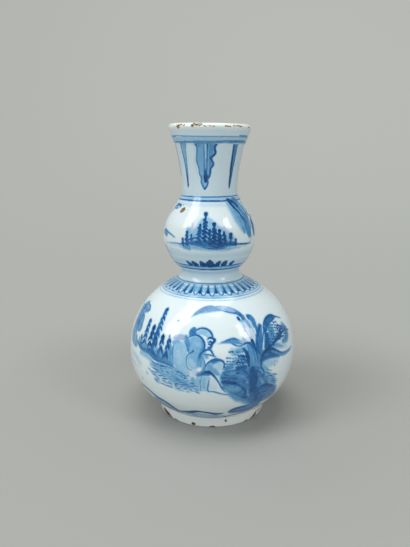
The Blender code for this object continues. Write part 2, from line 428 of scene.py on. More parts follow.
# Thin glaze at a worn edge, through which the body warms the white. The same cream is painted as a
# highlight on the top of the lip.
THIN_GLAZE_AND_HIGHLIGHT = linear("#F3F0E4")
GLAZE_IOR = 1.55
GLAZE_ROUGHNESS = 0.09
BISCUIT_ROUGHNESS = 0.9
# How a mixing node is set for colours, and how a node that maps a range is set for a soft step
AS_COLOURS = {"out": 2, "data_type": "RGBA"}
SOFTLY = {"interpolation_type": "SMOOTHSTEP"}


def tin_glaze(name, body):
    """Tin-glazed earthenware painted in cobalt blue: an opaque white glaze, poured and fired to a deep
    gloss, in which the painted lines are a little soft. Where it is chipped, the buff body is matt."""
    material = bpy.data.materials.new(name)
    material.use_nodes = True
    tree = material.node_tree
    shader = tree.nodes["Principled BSDF"]
    ink, ink_tone, wash, wash_tone, haze_and_shade, lilac_and_highlight, lift, thin_and_highlight, bare = (
        add(tree, "Attribute", out="Fac", attribute_name=layer)
        for layer in ("ink", "ink_tone", "wash", "wash_tone", "haze_and_shade", "lilac_and_highlight", "lift", "thin_and_highlight", "bare")
    )
    # The mottle of the glaze, the waver of painted edges, the slow waves in which the glaze ran, and the
    # light and dark grains of the body and its pits, each at the size of its grain
    where = add(tree, "TexCoord", out="Object")
    mottle, waver, flow, grog, pits = (
        add(tree, "TexNoise", {"Vector": where, "Scale": 1 / grain, "Detail": detail, "Roughness": rough})
        for grain, detail, rough in (
            (2.4 * MM, 3.0, 0.6), (0.9 * MM, 2.0, 0.5), (11.0 * MM, 1.0, 0.5), (0.6 * MM, 4.0, 0.7),
            (0.4 * MM, 3.0, 0.5),
        )
    )
    waver = add(tree, "Math", waver, 0.5, operation="SUBTRACT")
    waver = add(tree, "Math", waver, 0.45, operation="MULTIPLY")
    streaks = add(tree, "Math", mottle, 0.56, 0.72, operation="MULTIPLY_ADD")

    # Washes, a little darker near their edges, where the paint pooled, and stains without an edge, among
    # them painted shade on the waist and under the upper bulb. The layers of washes, lines and bare places
    # hold the distance to their edge in mm, below nought inside.
    wash_edge = add(tree, "Math", wash, waver, operation="ADD")
    wash_cover = add(tree, "MapRange", wash_edge, 0.45, -0.40, **SOFTLY)
    pooled = add(tree, "MapRange", wash_edge, -0.9, -0.1, 0.0, 0.10, **SOFTLY)
    washed = add(tree, "Math", wash_tone, streaks, pooled, operation="MULTIPLY_ADD")
    washed = add(tree, "Math", washed, wash_cover, operation="MULTIPLY")
    stained_and_shaded = add(tree, "Math", haze_and_shade, streaks, operation="MULTIPLY")
    pale = add(tree, "Math", washed, stained_and_shaded, operation="MAXIMUM")

    # Lines, which bled a little way into the glaze round them
    ink_edge = add(tree, "Math", ink, waver, operation="ADD")
    ink_cover = add(tree, "MapRange", ink_edge, 0.32, -0.24, **SOFTLY)
    drawn = add(tree, "Math", ink_tone, streaks, operation="MULTIPLY")
    drawn = add(tree, "Math", drawn, ink_cover, operation="MULTIPLY")
    bled = add(tree, "MapRange", ink, 1.3, -0.1, 0.0, 0.24, **SOFTLY)
    bled = add(tree, "Math", bled, ink_tone, operation="MULTIPLY")
    pale = add(tree, "Math", pale, bled, operation="MAXIMUM")
    tone = add(tree, "Math", pale, drawn, operation="MAXIMUM", use_clamp=True)
    left_on = add(tree, "Math", 1.0, lift, operation="SUBTRACT")
    tone = add(tree, "Math", tone, left_on, operation="MULTIPLY")

    painted = add(tree, "ValToRGB", tone)
    stops = painted.node.color_ramp.elements
    for position, _ in COBALT_TONES[1:-1]:
        stops.new(position)
    for stop, (position, colour) in zip(stops, COBALT_TONES):
        stop.position, stop.color = position, linear(colour)
    # Pale lilac over the paint, partly fired cobalt and partly painted highlight
    colour = add(tree, "Mix", {0: lilac_and_highlight, 6: painted, 7: LILAC_AND_HIGHLIGHT}, **AS_COLOURS)

    # Worn thin at an edge and round a chip, with the same cream painted as a highlight on the top of the
    # lip, and gone where the body is bare
    round_a_chip = add(tree, "MapRange", bare, 0.8, 0.2, 0.0, 0.7, **SOFTLY)
    worn_and_highlit = add(tree, "Math", thin_and_highlight, round_a_chip, operation="MAXIMUM")
    colour = add(tree, "Mix", {0: worn_and_highlit, 6: colour, 7: THIN_GLAZE_AND_HIGHLIGHT}, **AS_COLOURS)
    biscuit = add(tree, "Mix", {0: grog, 6: body[0], 7: body[1]}, **AS_COLOURS)
    bared = add(tree, "MapRange", bare, 0.10, -0.06, **SOFTLY)
    colour = add(tree, "Mix", {0: bared, 6: colour, 7: biscuit}, **AS_COLOURS)
    roughness = add(tree, "MapRange", bared, 0.0, 1.0, GLAZE_ROUGHNESS, BISCUIT_ROUGHNESS)

    # The relief of the waves and of the pits in the bare body
    waves = add(tree, "Math", flow, 0.10, operation="MULTIPLY")
    pits = add(tree, "Math", pits, bared, operation="MULTIPLY")
    height = add(tree, "Math", pits, 0.35, waves, operation="MULTIPLY_ADD")
    bump = add(tree, "Bump", {"Height": height, "Distance": MM, "Strength": 0.6})
    for socket, value in (("Base Color", colour), ("Roughness", roughness), ("Normal", bump)):
        tree.links.new(value, shader.inputs[socket])
    shader.inputs["IOR"].default_value = GLAZE_IOR
    return material


def place_on_the_vase(surface, node, body=BISCUIT):
    """Gives the piece its glaze and its place in the frame, instead of the CAD node of the same name."""
    piece = surface.obj
    piece.data.materials.append(tin_glaze(node + " tin glaze", body))
    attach(piece, "root")
    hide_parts(node)


foot_inner = FOOT_RADIUS - FOOT_WALL
foot_outside = [
    *rounded_corner((FOOT_RADIUS - FOOT_EDGE_ROUND, 0), (FOOT_RADIUS, 0), (FOOT_RADIUS, FOOT_EDGE_ROUND)),
    (LOWER_BASE_RADIUS, FOOT_TOP),
]
foot_inside = [
    *rounded_corner((foot_inner + FOOT_EDGE_ROUND, 0), (foot_inner, 0), (foot_inner, FOOT_EDGE_ROUND)),
    (foot_inner, FOOT_TOP),
]
foot = Surface("foot_ring_piece", evenly(foot_outside, 26), evenly(foot_inside, 16), 320, 200)
for spot, widths, depth in (
    ([(-65, 2.6), (-59, 2), (-53, 1.2), (-48, 0.6)], (1.4, 3.6, 3.8, 1.6), 1.1),
    ([(-42, 0.8), (-38, 0.4)], (1, 0.8), 0.7),
    ([(-2, 0.4), (0, 0.4), (2, 0.5)], (1.4, 2.2, 1.2), 1.4), ([(36, 0.5), (39, 0.8)], (1.2, 1.5), 0.8),
    ([(45, 0.6), (50, 1), (53, 2), (55, 3.4)], (1.4, 3.4, 2.6, 1.6), 1.3),
    ([(58, 2.6), (64, 3.2)], (1, 0.8), 0.5),
    ([(112, 0.5), (118, 0.9), (123, 0.5)], (1.2, 2.4, 1), 1), ([(171, 0.4), (175, 0.6)], (1.4, 1.6), 0.8),
    ([(232, 0.4), (237, 0.9), (240, 0.4)], (1, 2, 1), 0.9),
):
    foot.chip(foot.around(spot), widths, depth)
for spot, widths, depth in (
    ([(192.6, 423.4), (194.6, 424)], (1.7, 1.9), 0.7), ([(225.6, 420.2), (226, 421.4)], (1.2, 1.2), 0.5),
):
    foot.chip(foot.seen(spot), widths, depth)
# Its glaze is thin, and it is wiped bare where it stands, up to a height in mm
FOOT_THINNESS = 0.3
WIPED_TO = 0.12
foot.layers["thin_and_highlight"] += FOOT_THINNESS
foot.layers["bare"] = np.minimum(foot.layers["bare"], foot.height - WIPED_TO)
foot.finish()
# The foot's bare body is darker: dirt where it stands, and painted shade in its chips
place_on_the_vase(foot, "foot_ring", DIRTY_AND_SHADED_BISCUIT)

# The lower bulb
# The widest section, thrown as a closed bowl with the floor of the pot. The painter laid the landscape
# round it in cobalt on the raw glaze: firs, water, rocks, and long leaves that arch out of a bank.
SHOULDER_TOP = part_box("waist_collar")[0].z / MM - SLIP
LOWER_BELLY_RADIUS = 58.9
LOWER_BELLY_HEIGHT = 37.0
WAIST_RADIUS = 20.8
FLOOR_THICKNESS = 7.0
# The wall gets thinner from the foot to the mouth
WALL_AT_FOOT = 5.5
WALL_AT_WAIST = 4.7
WALL_AT_UPPER_BASE = 4.6
WALL_AT_NECK_FOOT = 4.3
WALL_AT_NECK = 4.0


def bulb(base, base_step, belly, below, above, top, top_step, count):
    """A bulb's outer curve upwards: one arc from its base to its belly, and one on to its top."""
    base, belly, top = (np.array(point) for point in (base, belly, top))
    lower = arc(base, base + base_step, belly - (0, below), belly, 60)
    upper = arc(belly, belly + (0, above), top + top_step * (1, -1), top, 60)
    return evenly(lower + upper[1:], count)


def wall_inside(outside, wall_below, wall_above, count):
    """The bore's curve: the outside moved in, square to the wall, by a wall that thins upwards."""
    along = np.gradient(outside, axis=0)
    along /= np.linalg.norm(along, axis=1)[:, None]
    inwards = np.stack([-along[:, 1], along[:, 0]], axis=1)
    wall = np.linspace(wall_below, wall_above, len(outside))
    return evenly(outside + inwards * wall[:, None], count)


def cove(below, above, reach):
    """Rounds the inside corner where one piece stands on another, as a wet finger smooths the slip there."""
    corner = below[-1].copy()
    start = below[np.linalg.norm(below - corner, axis=1) > reach][-1]
    end = above[np.linalg.norm(above - corner, axis=1) > reach][0]
    curve = np.array(arc(start, start + (corner - start) * 2 / 3, end + (corner - end) * 2 / 3, end))
    for line in (below, above):
        inside = (line[:, 1] > start[1]) & (line[:, 1] < end[1])
        line[inside, 0] = np.interp(line[inside, 1], curve[:, 1], curve[:, 0])


# The unevenness of the painter's hand
rng = np.random.default_rng(7)


def place_on(stem, share):
    """The place at this share of the way down a stem, in pixels."""
    shares = np.linspace(0, 1, len(stem))
    return np.array([np.interp(share, shares, stem[:, axis]) for axis in (0, 1)])


def fir(surface, stem, tiers, spread, tone):
    """A fir as a stack of arrowheads on a leaning stem, each two touches of the brush."""
    stem = smooth(stem)
    surface.stroke(surface.seen([stem[0], stem[len(stem) // 2], stem[-1]]), (0.5, 0.7), tone * 0.8)
    levels = np.linspace(0, 1, tiers + 1) ** 1.15
    for tier, (level, next_level) in enumerate(zip(levels, levels[1:]), 1):
        top, low = place_on(stem, level), place_on(stem, level + (next_level - level) * 0.88)
        reach = spread * (0.36 + 0.5 * tier / tiers)
        for side in (-1, 1):
            out = side * reach * rng.uniform(0.8, 1.2)
            bend = (top[0] + (low[0] - top[0] + out) * 0.5, top[1] + (low[1] - top[1]) * 0.45)
            tip = (low[0] + out, low[1] + rng.uniform(-0.5, 0.5))
            surface.stroke(surface.seen([top, bend, tip]), (1.3, 1.7, 0.5), tone * rng.uniform(0.9, 1.06))


def ripples(surface, top_line, bottom_line, rows, length, tone):
    """Water as rows of short level strokes between two lines across the picture."""
    top_line, bottom_line = smooth(top_line), smooth(bottom_line)
    for row in range(rows):
        share = (row + 0.5) / rows
        line = top_line + (bottom_line - top_line) * share
        x = line[0, 0] + rng.uniform(0, length)
        while x < line[-1, 0]:
            ends = np.array((x, x + length * rng.uniform(0.6, 1.4)))
            level = np.interp(ends, line[:, 0], line[:, 1]) + rng.uniform(-0.5, 0.5)
            touch = surface.seen(np.stack([ends, level], axis=1))
            surface.stroke(touch, (0.3, 0.7, 0.3), tone * rng.uniform(0.75, 1.15))
            if rng.uniform() < 0.4:
                slit = np.stack([ends, level + 0.9], axis=1)
                surface.spread(surface.seen(slit), 0.3, 0.45, 0.7, "lift")
            x = ends[1] + length * rng.uniform(0.1, 0.45)


def scales(surface, rows, step, size, tone):
    """A tuft of leaves as rows of short touches, each row as its level, its start and its end in pixels."""
    for level, start, end in rows:
        for x in np.arange(start, end, step):
            place = (x + rng.uniform(-0.5, 0.5), level + rng.uniform(-0.4, 0.4))
            touch = [place, (place[0] + 1.6, place[1] + rng.uniform(0.1, 0.8))]
            widths = (size * 0.8, size, size * 0.5)
            surface.stroke(surface.seen(touch), widths, tone * rng.uniform(0.75, 1.15))


def paint_round(surface, rounds):
    """Paints motifs on the pot, each group turned round it by some degrees, and flipped where that is -1."""
    for turn, flip, motifs in rounds:
        surface.turn, surface.flip = turn, flip
        for motif in motifs:
            motif()
    surface.turn, surface.flip = 0, 1


lower_outside = bulb(
    base=(LOWER_BASE_RADIUS, FOOT_TOP),
    base_step=slope_step(18.8, 38),
    belly=(LOWER_BELLY_RADIUS, FOOT_TOP + LOWER_BELLY_HEIGHT),
    below=12.2,
    above=40.0,
    top=(WAIST_RADIUS, SHOULDER_TOP),
    top_step=slope_step(7.7, 38.5),
    count=176,
)
# The waist's outside is worked out here, because one cove rounds the corner between the two
WAIST_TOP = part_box("upper_bulb")[0].z / MM - SLIP
WAIST_PULL_BELOW, WAIST_PULL_ABOVE = 1.5, 4.0
UPPER_BASE_RADIUS = 22.0
UPPER_BASE_SLOPE = 39.5
COVE_REACH = 4.0
waist_low, waist_high = np.array((WAIST_RADIUS, SHOULDER_TOP)), np.array((UPPER_BASE_RADIUS, WAIST_TOP))
waist_pull = waist_high - slope_step(WAIST_PULL_ABOVE, UPPER_BASE_SLOPE)
waist_outside = np.array(arc(waist_low, waist_low + (0, WAIST_PULL_BELOW), waist_pull, waist_high, 26))
cove(lower_outside, waist_outside, COVE_REACH)
# The bore follows the outside from this point of it on, and slants in below it to the flat of the floor
BORE_BEGINS = 30
FLAT_SHARE_OF_FLOOR = 0.72
lower_bore = wall_inside(lower_outside[BORE_BEGINS:], WALL_AT_FOOT, WALL_AT_WAIST, 14)
floor = FOOT_TOP + FLOOR_THICKNESS
flat_floor = [(0, floor), (lower_bore[0, 0] * FLAT_SHARE_OF_FLOOR, floor)]
lower_bore = np.concatenate([flat_floor, lower_bore[1:]])
lower_under = [(radius, FOOT_TOP) for radius in (0, 15, 29)]
lower = Surface("lower_bulb_piece", lower_outside, lower_bore, 280, 200, lower_under)


def firs_on_a_bank():
    """A row of firs on a bank, with the leaves of a tree behind them, and water in front."""
    lower.stain((
        ([(146.5, 303.5), (147.8, 308.5)], 5, 0.52, 2.5),
        ([(151, 322), (146, 337), (145, 345)], (2, 5, 6), 0.36, 2.5),
        ([(163, 318), (158, 332), (154, 346), (160, 356)], (2, 6, 9, 6), 0.40, 3),
        ([(169, 341), (166, 352), (166, 361)], (2, 5, 6), 0.40, 2.5),
        ([(140, 346), (150, 352), (160, 359), (172, 364)], (4, 6, 6, 4), 0.58, 2.5),
        ([(152, 364), (165, 371), (178, 380), (190, 385)], (6, 12, 14, 7), 0.36, 5),
        ([(172, 375), (181, 382), (189, 387)], (5, 8, 6), 0.48, 4),
        ([(160, 364.6), (171, 368.4), (182, 374)], (3, 5, 5), 0.42, 3),
        ([(157, 371), (163, 374)], 3, 0.50, 3), ([(169.6, 346), (170.6, 354)], 5, 0.50, 3),
        ([(133.4, 352), (137.6, 358), (141, 364)], (4, 6, 4), 0.14, 4),
        ([(141, 352), (147, 356), (152, 360)], 5, 0.30, 4),
        ([(162.4, 319), (159.4, 328)], 4.4, 0.26, 4), ([(141.4, 303.6), (138.6, 309)], 3.2, 0.42, 2.8),
    ))
    lower.pool((
        ([(150.4, 300.6), (146, 302.8), (142.4, 306.8), (141.2, 311.6), (144, 312.8), (148.2, 312.2),
          (150.8, 309.4), (149.8, 305)], 0.50, 1.8),
        ([(142.4, 309.6), (138.4, 315.6), (136.2, 322), (136, 327), (138.2, 331.4), (141.2, 329.8),
          (143.4, 322.4), (144.9, 316.4), (144.6, 311.6)], 0.56, 1.8),
        ([(138, 316), (134.4, 325.4), (132.4, 334.4), (132.6, 341), (135.2, 346.4), (137.6, 345.4),
          (137, 338), (136.8, 330), (137.6, 324)], 0.46, 2),
        ([(137, 340), (142, 341), (147, 343), (153, 347), (158, 350), (163, 350), (168, 352), (172, 356),
          (173, 365), (166, 364), (158, 361), (150, 356), (142, 351)], 0.46, 3),
    ))
    lower.paint((
        ([(150, 300.6), (147.6, 302.5)], (0.7, 1.4), 0.60),
        ([(144.4, 303.5), (143, 309), (140.6, 315), (138.7, 322)], (1, 2, 2, 1), 0.64),
        ([(143.4, 312), (142.4, 320), (140.4, 329)], (1, 1.8, 0.8), 0.60),
        ([(140, 314), (137.6, 324), (136.6, 333)], (1.2, 1.8, 0.8), 0.62),
        ([(148.6, 302.4), (150.4, 305.6), (149.8, 309.4), (147, 311.4)], (0.7, 1.3, 1.3, 0.8), 0.62),
        ([(146.2, 304.6), (144.4, 308.8)], (1.4, 2.8, 1.4), 0.84),
        ([(139.6, 318.6), (138.6, 324.4)], (1.4, 2.8, 1.4), 0.82),
        ([(141.6, 326.4), (140.4, 330)], (0.8, 1.4, 0.7), 0.60),
        ([(134.8, 329), (133.8, 336)], (0.9, 1.6, 0.9), 0.62),
        ([(147.6, 306.8), (146.4, 310.8)], (0.8, 1.4, 0.8), 0.70),
        ([(142.6, 314.6), (141, 319)], (0.8, 1.5, 0.8), 0.72),
        ([(137, 334), (137.2, 341)], (0.6, 1.4, 0.7), 0.56),
        ([(139.5, 336), (139, 343)], (0.6, 1.2, 0.6), 0.58),
    ), "wash")
    lower.stain((
        ([(148.6, 305.4), (147.6, 308.6)], 1.4, 0.42, 1.2), ([(144.4, 305.2), (142.6, 309.4)], 1, 0.36, 1.2),
        ([(143.2, 317), (141.8, 322.4)], 1.2, 0.34, 1.2), ([(138.4, 315), (137, 320)], 1, 0.34, 1.2),
        ([(140.6, 325.4), (139.6, 328.6)], 1.4, 0.32, 1.2), ([(135.6, 333.6), (135, 339.4)], 1.2, 0.36, 1.2),
    ), "lift")
    lower.paint((
        ([(150, 303.2), (148.2, 304.6)], (0.5, 0.9, 0.5), 0.80),
        ([(149.4, 308.4), (146.6, 310.2)], (0.5, 0.9, 0.5), 0.78),
        ([(144.8, 313.4), (143.4, 315.6)], (0.5, 0.9, 0.5), 0.76),
        ([(142.6, 324.2), (140.8, 326)], (0.5, 0.9, 0.5), 0.78),
        ([(137.6, 327.6), (136.2, 331)], (0.5, 1, 0.5), 0.72),
        ([(136.4, 340), (135.4, 343.6)], (0.5, 0.9, 0.5), 0.66),
    ))
    for stem, tiers, spread, tone in (
        ([(168, 308.2), (164, 316.5), (160.8, 325), (157.6, 334), (154, 347)], 7, 3.7, 0.86),
        ([(150.9, 319.2), (148, 328), (145.6, 336), (143.6, 346)], 5, 2.8, 0.86),
        ([(154.8, 325.2), (152.4, 333), (150.3, 340), (148.6, 349)], 4, 2.8, 1),
        ([(159, 326.5), (156.6, 334), (155, 340), (153.4, 349)], 4, 2.8, 0.88),
        ([(142, 335), (141, 342), (140.4, 347)], 2, 1.6, 0.80),
        ([(163.4, 335), (161.6, 343), (159.6, 356)], 3, 3, 0.92),
        ([(169.6, 339), (167.4, 348), (164.2, 362)], 3, 3.3, 0.92),
        ([(158.4, 350), (157.6, 355), (156.8, 360)], 2, 1.9, 0.74),
        ([(153.2, 343), (152.4, 348), (151.6, 353)], 2, 1.8, 0.80),
    ):
        fir(lower, stem, tiers, spread, tone * 0.94)
    lower.paint((
        ([(170, 334.6), (169.4, 340)], (0.8, 1.6, 0.8), 0.40), ([(163.3, 336.4), (163, 339.2)], 2, 0.94),
        ([(154.4, 326.8), (153.4, 330)], (1.2, 2.3, 1.4), 1),
        ([(152.4, 332.6), (151, 338)], (1.2, 2.4, 1.4), 0.98),
        ([(137.4, 341.5), (141.5, 348.2), (147.5, 350.8), (151.5, 355.2), (156.5, 360), (164, 362.6),
          (173, 366.4)], (1, 2.2, 2.4, 2.4, 1.8, 1.6, 1), 0.66),
        ([(147.5, 349.2), (152, 351), (155.5, 356)], (1.5, 2.8, 1.6), 0.76),
    ), "wash")
    far_shore = [(149.5, 360.6), (158, 362.6), (168, 365.4), (177, 368.6), (186, 375)]
    near_shore = [(151, 377), (158, 382), (168, 386), (181, 389.6), (197, 392)]
    ripples(lower, far_shore, near_shore, rows=13, length=5.2, tone=0.76)
    lower.paint((
        ([(148, 367.6), (151, 370.2)], (0.5, 0.9, 0.5), 0.50),
        ([(155.6, 381.4), (160.4, 383.6)], (0.4, 0.8, 0.4), 0.34),
        ([(162, 383.8), (172, 387.6)], (0.4, 0.8, 0.5), 0.48),
        ([(175, 389), (184, 391)], (0.4, 0.8, 0.5), 0.46),
        ([(186, 391.4), (190, 392.2)], (0.5, 0.9, 0.4), 0.50),
        ([(195, 391.6), (199.8, 393.4)], (0.5, 1.2, 0.5), 0.50),
        ([(131, 354), (134, 360.5), (137.4, 366)], (0.3, 0.7, 0.4), 0.30),
        ([(134, 353), (137.6, 360), (139.6, 367.4)], (0.3, 0.7, 0.5), 0.32),
        ([(146.6, 371.4), (147.8, 374)], (0.5, 0.9, 0.5), 0.38),
        ([(142.4, 376.6), (143.2, 378.6)], (0.5, 0.9, 0.5), 0.30),
    ))


def scholars_rocks():
    """Rounded rocks piled up and outlined, with a low rock in front and the line that it stands on."""
    lower.stain((
        ([(179, 345), (178, 357), (180, 369), (187, 376)], (8, 9, 9, 6), 0.30, 3),
        ([(195, 341), (197, 347), (194, 352)], (9, 9, 7), 0.40, 2.5),
        ([(176, 337.4), (181, 337), (185, 338.4)], (4, 5, 4), 0.44, 3),
        ([(186, 337), (187.8, 342.6), (188.6, 350)], (4, 5.4, 4), 0.54, 2.6),
        ([(204, 353), (206.6, 357)], (4, 4), 0.44, 3),
        ([(198, 374.8), (204, 373.2), (209, 373.6)], (4, 5, 4), 0.74, 2.2),
        ([(209, 367), (214, 371), (218, 374)], (5, 6, 4), 0.44, 3.4),
        ([(192.4, 379), (194, 384)], 4.4, 0.42, 3), ([(174, 342.6), (178, 341.2)], 4, 0.42, 3),
        ([(192, 360), (193, 366)], 7, 0.30, 2.5), ([(197.5, 358), (198.5, 366)], 3, 0.46, 2.2),
        ([(194, 371), (196, 376)], 6, 0.16, 3),
        ([(203, 357), (203.8, 364), (202.4, 371)], 2.4, 0.40, 1.6),
        ([(200, 332), (206, 333.5), (208.5, 337)], (3, 5, 3), 0.27, 1.6),
        ([(208, 365), (208.5, 370)], 4, 0.44, 2.2),
        ([(201.4, 354), (201.6, 359), (200.4, 366)], 3, 0.50, 1.8),
        ([(211, 361.6), (214.4, 362.2)], 3, 0.66, 1.6), ([(213.5, 362.5), (217.5, 361.8)], 1.8, 0.62, 1.4),
        ([(219, 365), (217.5, 371)], 4, 0.22, 2.2),
        ([(198, 379), (197, 387)], 5, 0.30, 2.5), ([(203.6, 378), (203.6, 388)], 4, 0.32, 2.5),
        ([(213, 381), (214, 388)], 6, 0.10, 2),
        ([(210.6, 384), (210.4, 389)], 2.2, 0.14, 1.5),
        ([(201.6, 341), (203, 346), (201, 351), (199, 356), (198, 363)], (2, 3, 3, 3, 2), 0.54, 2.2),
    ))
    lower.pool((
        ([(177, 342.5), (174, 346.5), (173, 353), (173, 361), (175, 368), (179, 374), (186, 379), (190, 374),
          (187.6, 362), (187.6, 353), (187.2, 347), (184, 342.5), (180.5, 341)], 0.27, 2.4),
        ([(189.4, 339), (192.6, 336.6), (199, 337.2), (203, 341.6), (204, 346), (202.4, 350.6), (199.4, 355),
          (199.6, 361), (197.6, 368), (192, 369), (187.8, 364.5), (187.2, 358), (190, 353.5), (189.4, 346)],
         0.38, 1.8),
        ([(194.4, 326.8), (196.8, 328.8), (196.2, 331.6), (197, 333.8), (193, 335.8), (189.2, 336),
          (189.2, 331.6), (191.2, 328.6)], 0.68, 1.2),
        ([(204.6, 370), (207, 364.4), (212, 361.2), (215, 362), (213, 367), (211.6, 372), (208, 370.6)],
         0.40, 2),
        ([(213, 364), (218, 361), (223, 362), (223.6, 366), (221.6, 371), (216, 374), (213, 371)], 0.22, 2),
        ([(193.2, 388.4), (194.2, 382), (197.6, 377), (203, 374), (208.4, 373.6), (209.2, 378), (208, 385),
          (207.4, 390.4), (200, 389.8)], 0.25, 1.4),
    ))
    lower.fill((
        ([(196.4, 334), (199, 330.4), (204, 329), (209, 331), (211.6, 335), (211.6, 339), (208.6, 339.4),
          (206, 336.4), (201, 334.6)], 0.27),
    ))
    lower.stain((
        ([(190.6, 361), (193.6, 366)], 5, 0.34, 3), ([(195, 341.6), (198.6, 345)], 4, 0.16, 3),
        ([(178.4, 352), (179.4, 362)], 5, 0.2, 3),
    ), "lift")
    lower.paint((
        ([(176.4, 342.4), (173.4, 346.6), (172.5, 353), (172.8, 359), (174.2, 363.6)], (0.6, 1.5, 1.4, 0.8),
         (0.40, 0.56, 0.52, 0.40)),
        ([(183.8, 340.8), (186.8, 344.6), (188.2, 349.5), (188.8, 353)], (0.6, 1.6, 1.4, 0.8),
         (0.44, 0.60, 0.58, 0.5)),
        ([(188.6, 337.4), (192, 335.8), (196, 335), (200, 336.8), (203.3, 340.6), (204.6, 345.6),
          (203.2, 350.4), (200.4, 354)], (0.7, 1.2, 1.4, 1.3, 1.2), 0.76),
        ([(200.8, 353.6), (199.6, 356.6), (198.8, 361.6), (198.2, 366)], (1.6, 1.9, 1.4, 0.8),
         (0.72, 0.66, 0.50, 0.40)),
        ([(193.2, 350.8), (191.2, 352.6), (188.4, 354.4), (186.4, 358), (186.2, 362.4), (187, 366.4),
          (189.2, 369.2), (191.8, 370.4)], (1.5, 1, 0.9, 0.9, 0.8), (0.74, 0.60, 0.56, 0.52, 0.50)),
        ([(201, 355), (203.6, 359), (204.6, 364), (203.4, 369.2), (200.8, 373.4)], (0.7, 0.9, 1, 0.8), 0.50),
        ([(194.8, 332.4), (197, 330), (201, 328.3), (206, 328.7), (210, 331.4), (212.2, 335), (212.6, 338.4)],
         (0.8, 1.2, 1.2, 1.3, 0.9), 0.76),
        ([(198.4, 334.6), (201.4, 332.4), (205.6, 332.2)], (0.4, 0.7, 0.4), 0.46),
        ([(207.4, 339.4), (210.4, 337.6), (214.8, 339.8), (212.8, 342.8), (210, 341.4)],
         (0.7, 1.3, 1.5, 1.1), 0.90),
        ([(213, 342.8), (211.6, 345), (208.6, 344.4)], (1.2, 1.4, 0.8), 0.82),
        ([(211.8, 345.2), (210.8, 347.4), (207.6, 347.4)], (1, 1.4, 0.7), 0.80),
        ([(208, 341.8), (208.8, 342.8)], 0.9, 0.6),
        ([(200.6, 353.8), (203.8, 351.4), (208, 349.4), (211.3, 350.8), (213.6, 355.8)],
         (1, 1.3, 1.3, 0.9), 0.76),
        ([(201.4, 355), (205.6, 354.6), (209.6, 354.9), (215.6, 356.7)], (0.6, 0.9, 1, 0.7), 0.64),
        ([(204.6, 370), (206.4, 364.6), (211, 361.2), (216, 359.8), (220.6, 360.4), (223.6, 362),
          (224.2, 365.6), (222.8, 369.6)], (0.6, 1, 2.2, 1.4, 1, 0.8), 0.74),
        ([(213, 363.4), (210.8, 368.4), (210.4, 372)], (0.4, 0.7, 0.4), 0.46),
        ([(199.4, 375.6), (202.4, 373.6), (206, 372.3), (209.6, 372.4), (212.8, 374.8), (216, 378.5),
          (219.4, 383.6), (222, 388.4), (226, 392.2)], (0.6, 1.5, 2.1, 1.5, 1, 0.9, 0.6),
         (0.72, 0.86, 0.94, 0.84, 0.74, 0.70)),
        ([(197.4, 377), (194.6, 382.6), (193.6, 388.4)], (0.5, 0.9, 0.5), 0.44),
        ([(202, 376), (200.2, 382), (200.8, 390.4)], (0.6, 1.2, 0.6), 0.50),
        ([(209.6, 377.6), (208.4, 384), (207.6, 389.6), (208.8, 391.6)], (0.5, 1, 1.1, 0.7), 0.60),
        ([(196.8, 379.6), (196.6, 386.6)], (0.4, 0.8, 0.4), 0.42),
        ([(194, 389.4), (200, 390.6), (206.6, 390.6)], (0.4, 0.8, 0.5), 0.44),
        ([(207.8, 391.4), (214, 391.8), (220, 393.6), (226, 394.6), (233, 395.4)],
         (0.6, 0.9, 0.8, 0.6), 0.60),
    ))
    # Pale lilac on the rocks, partly a painted highlight at the top of the left rock and partly cobalt fired
    # to a lilac
    lower.stain((
        ([(175.4, 337.6), (179, 336.6), (182.8, 337.6)], 3.4, 0.80, 2.4),
        ([(189, 372), (197, 373)], 5, 0.30, 4),
    ), "lilac_and_highlight")


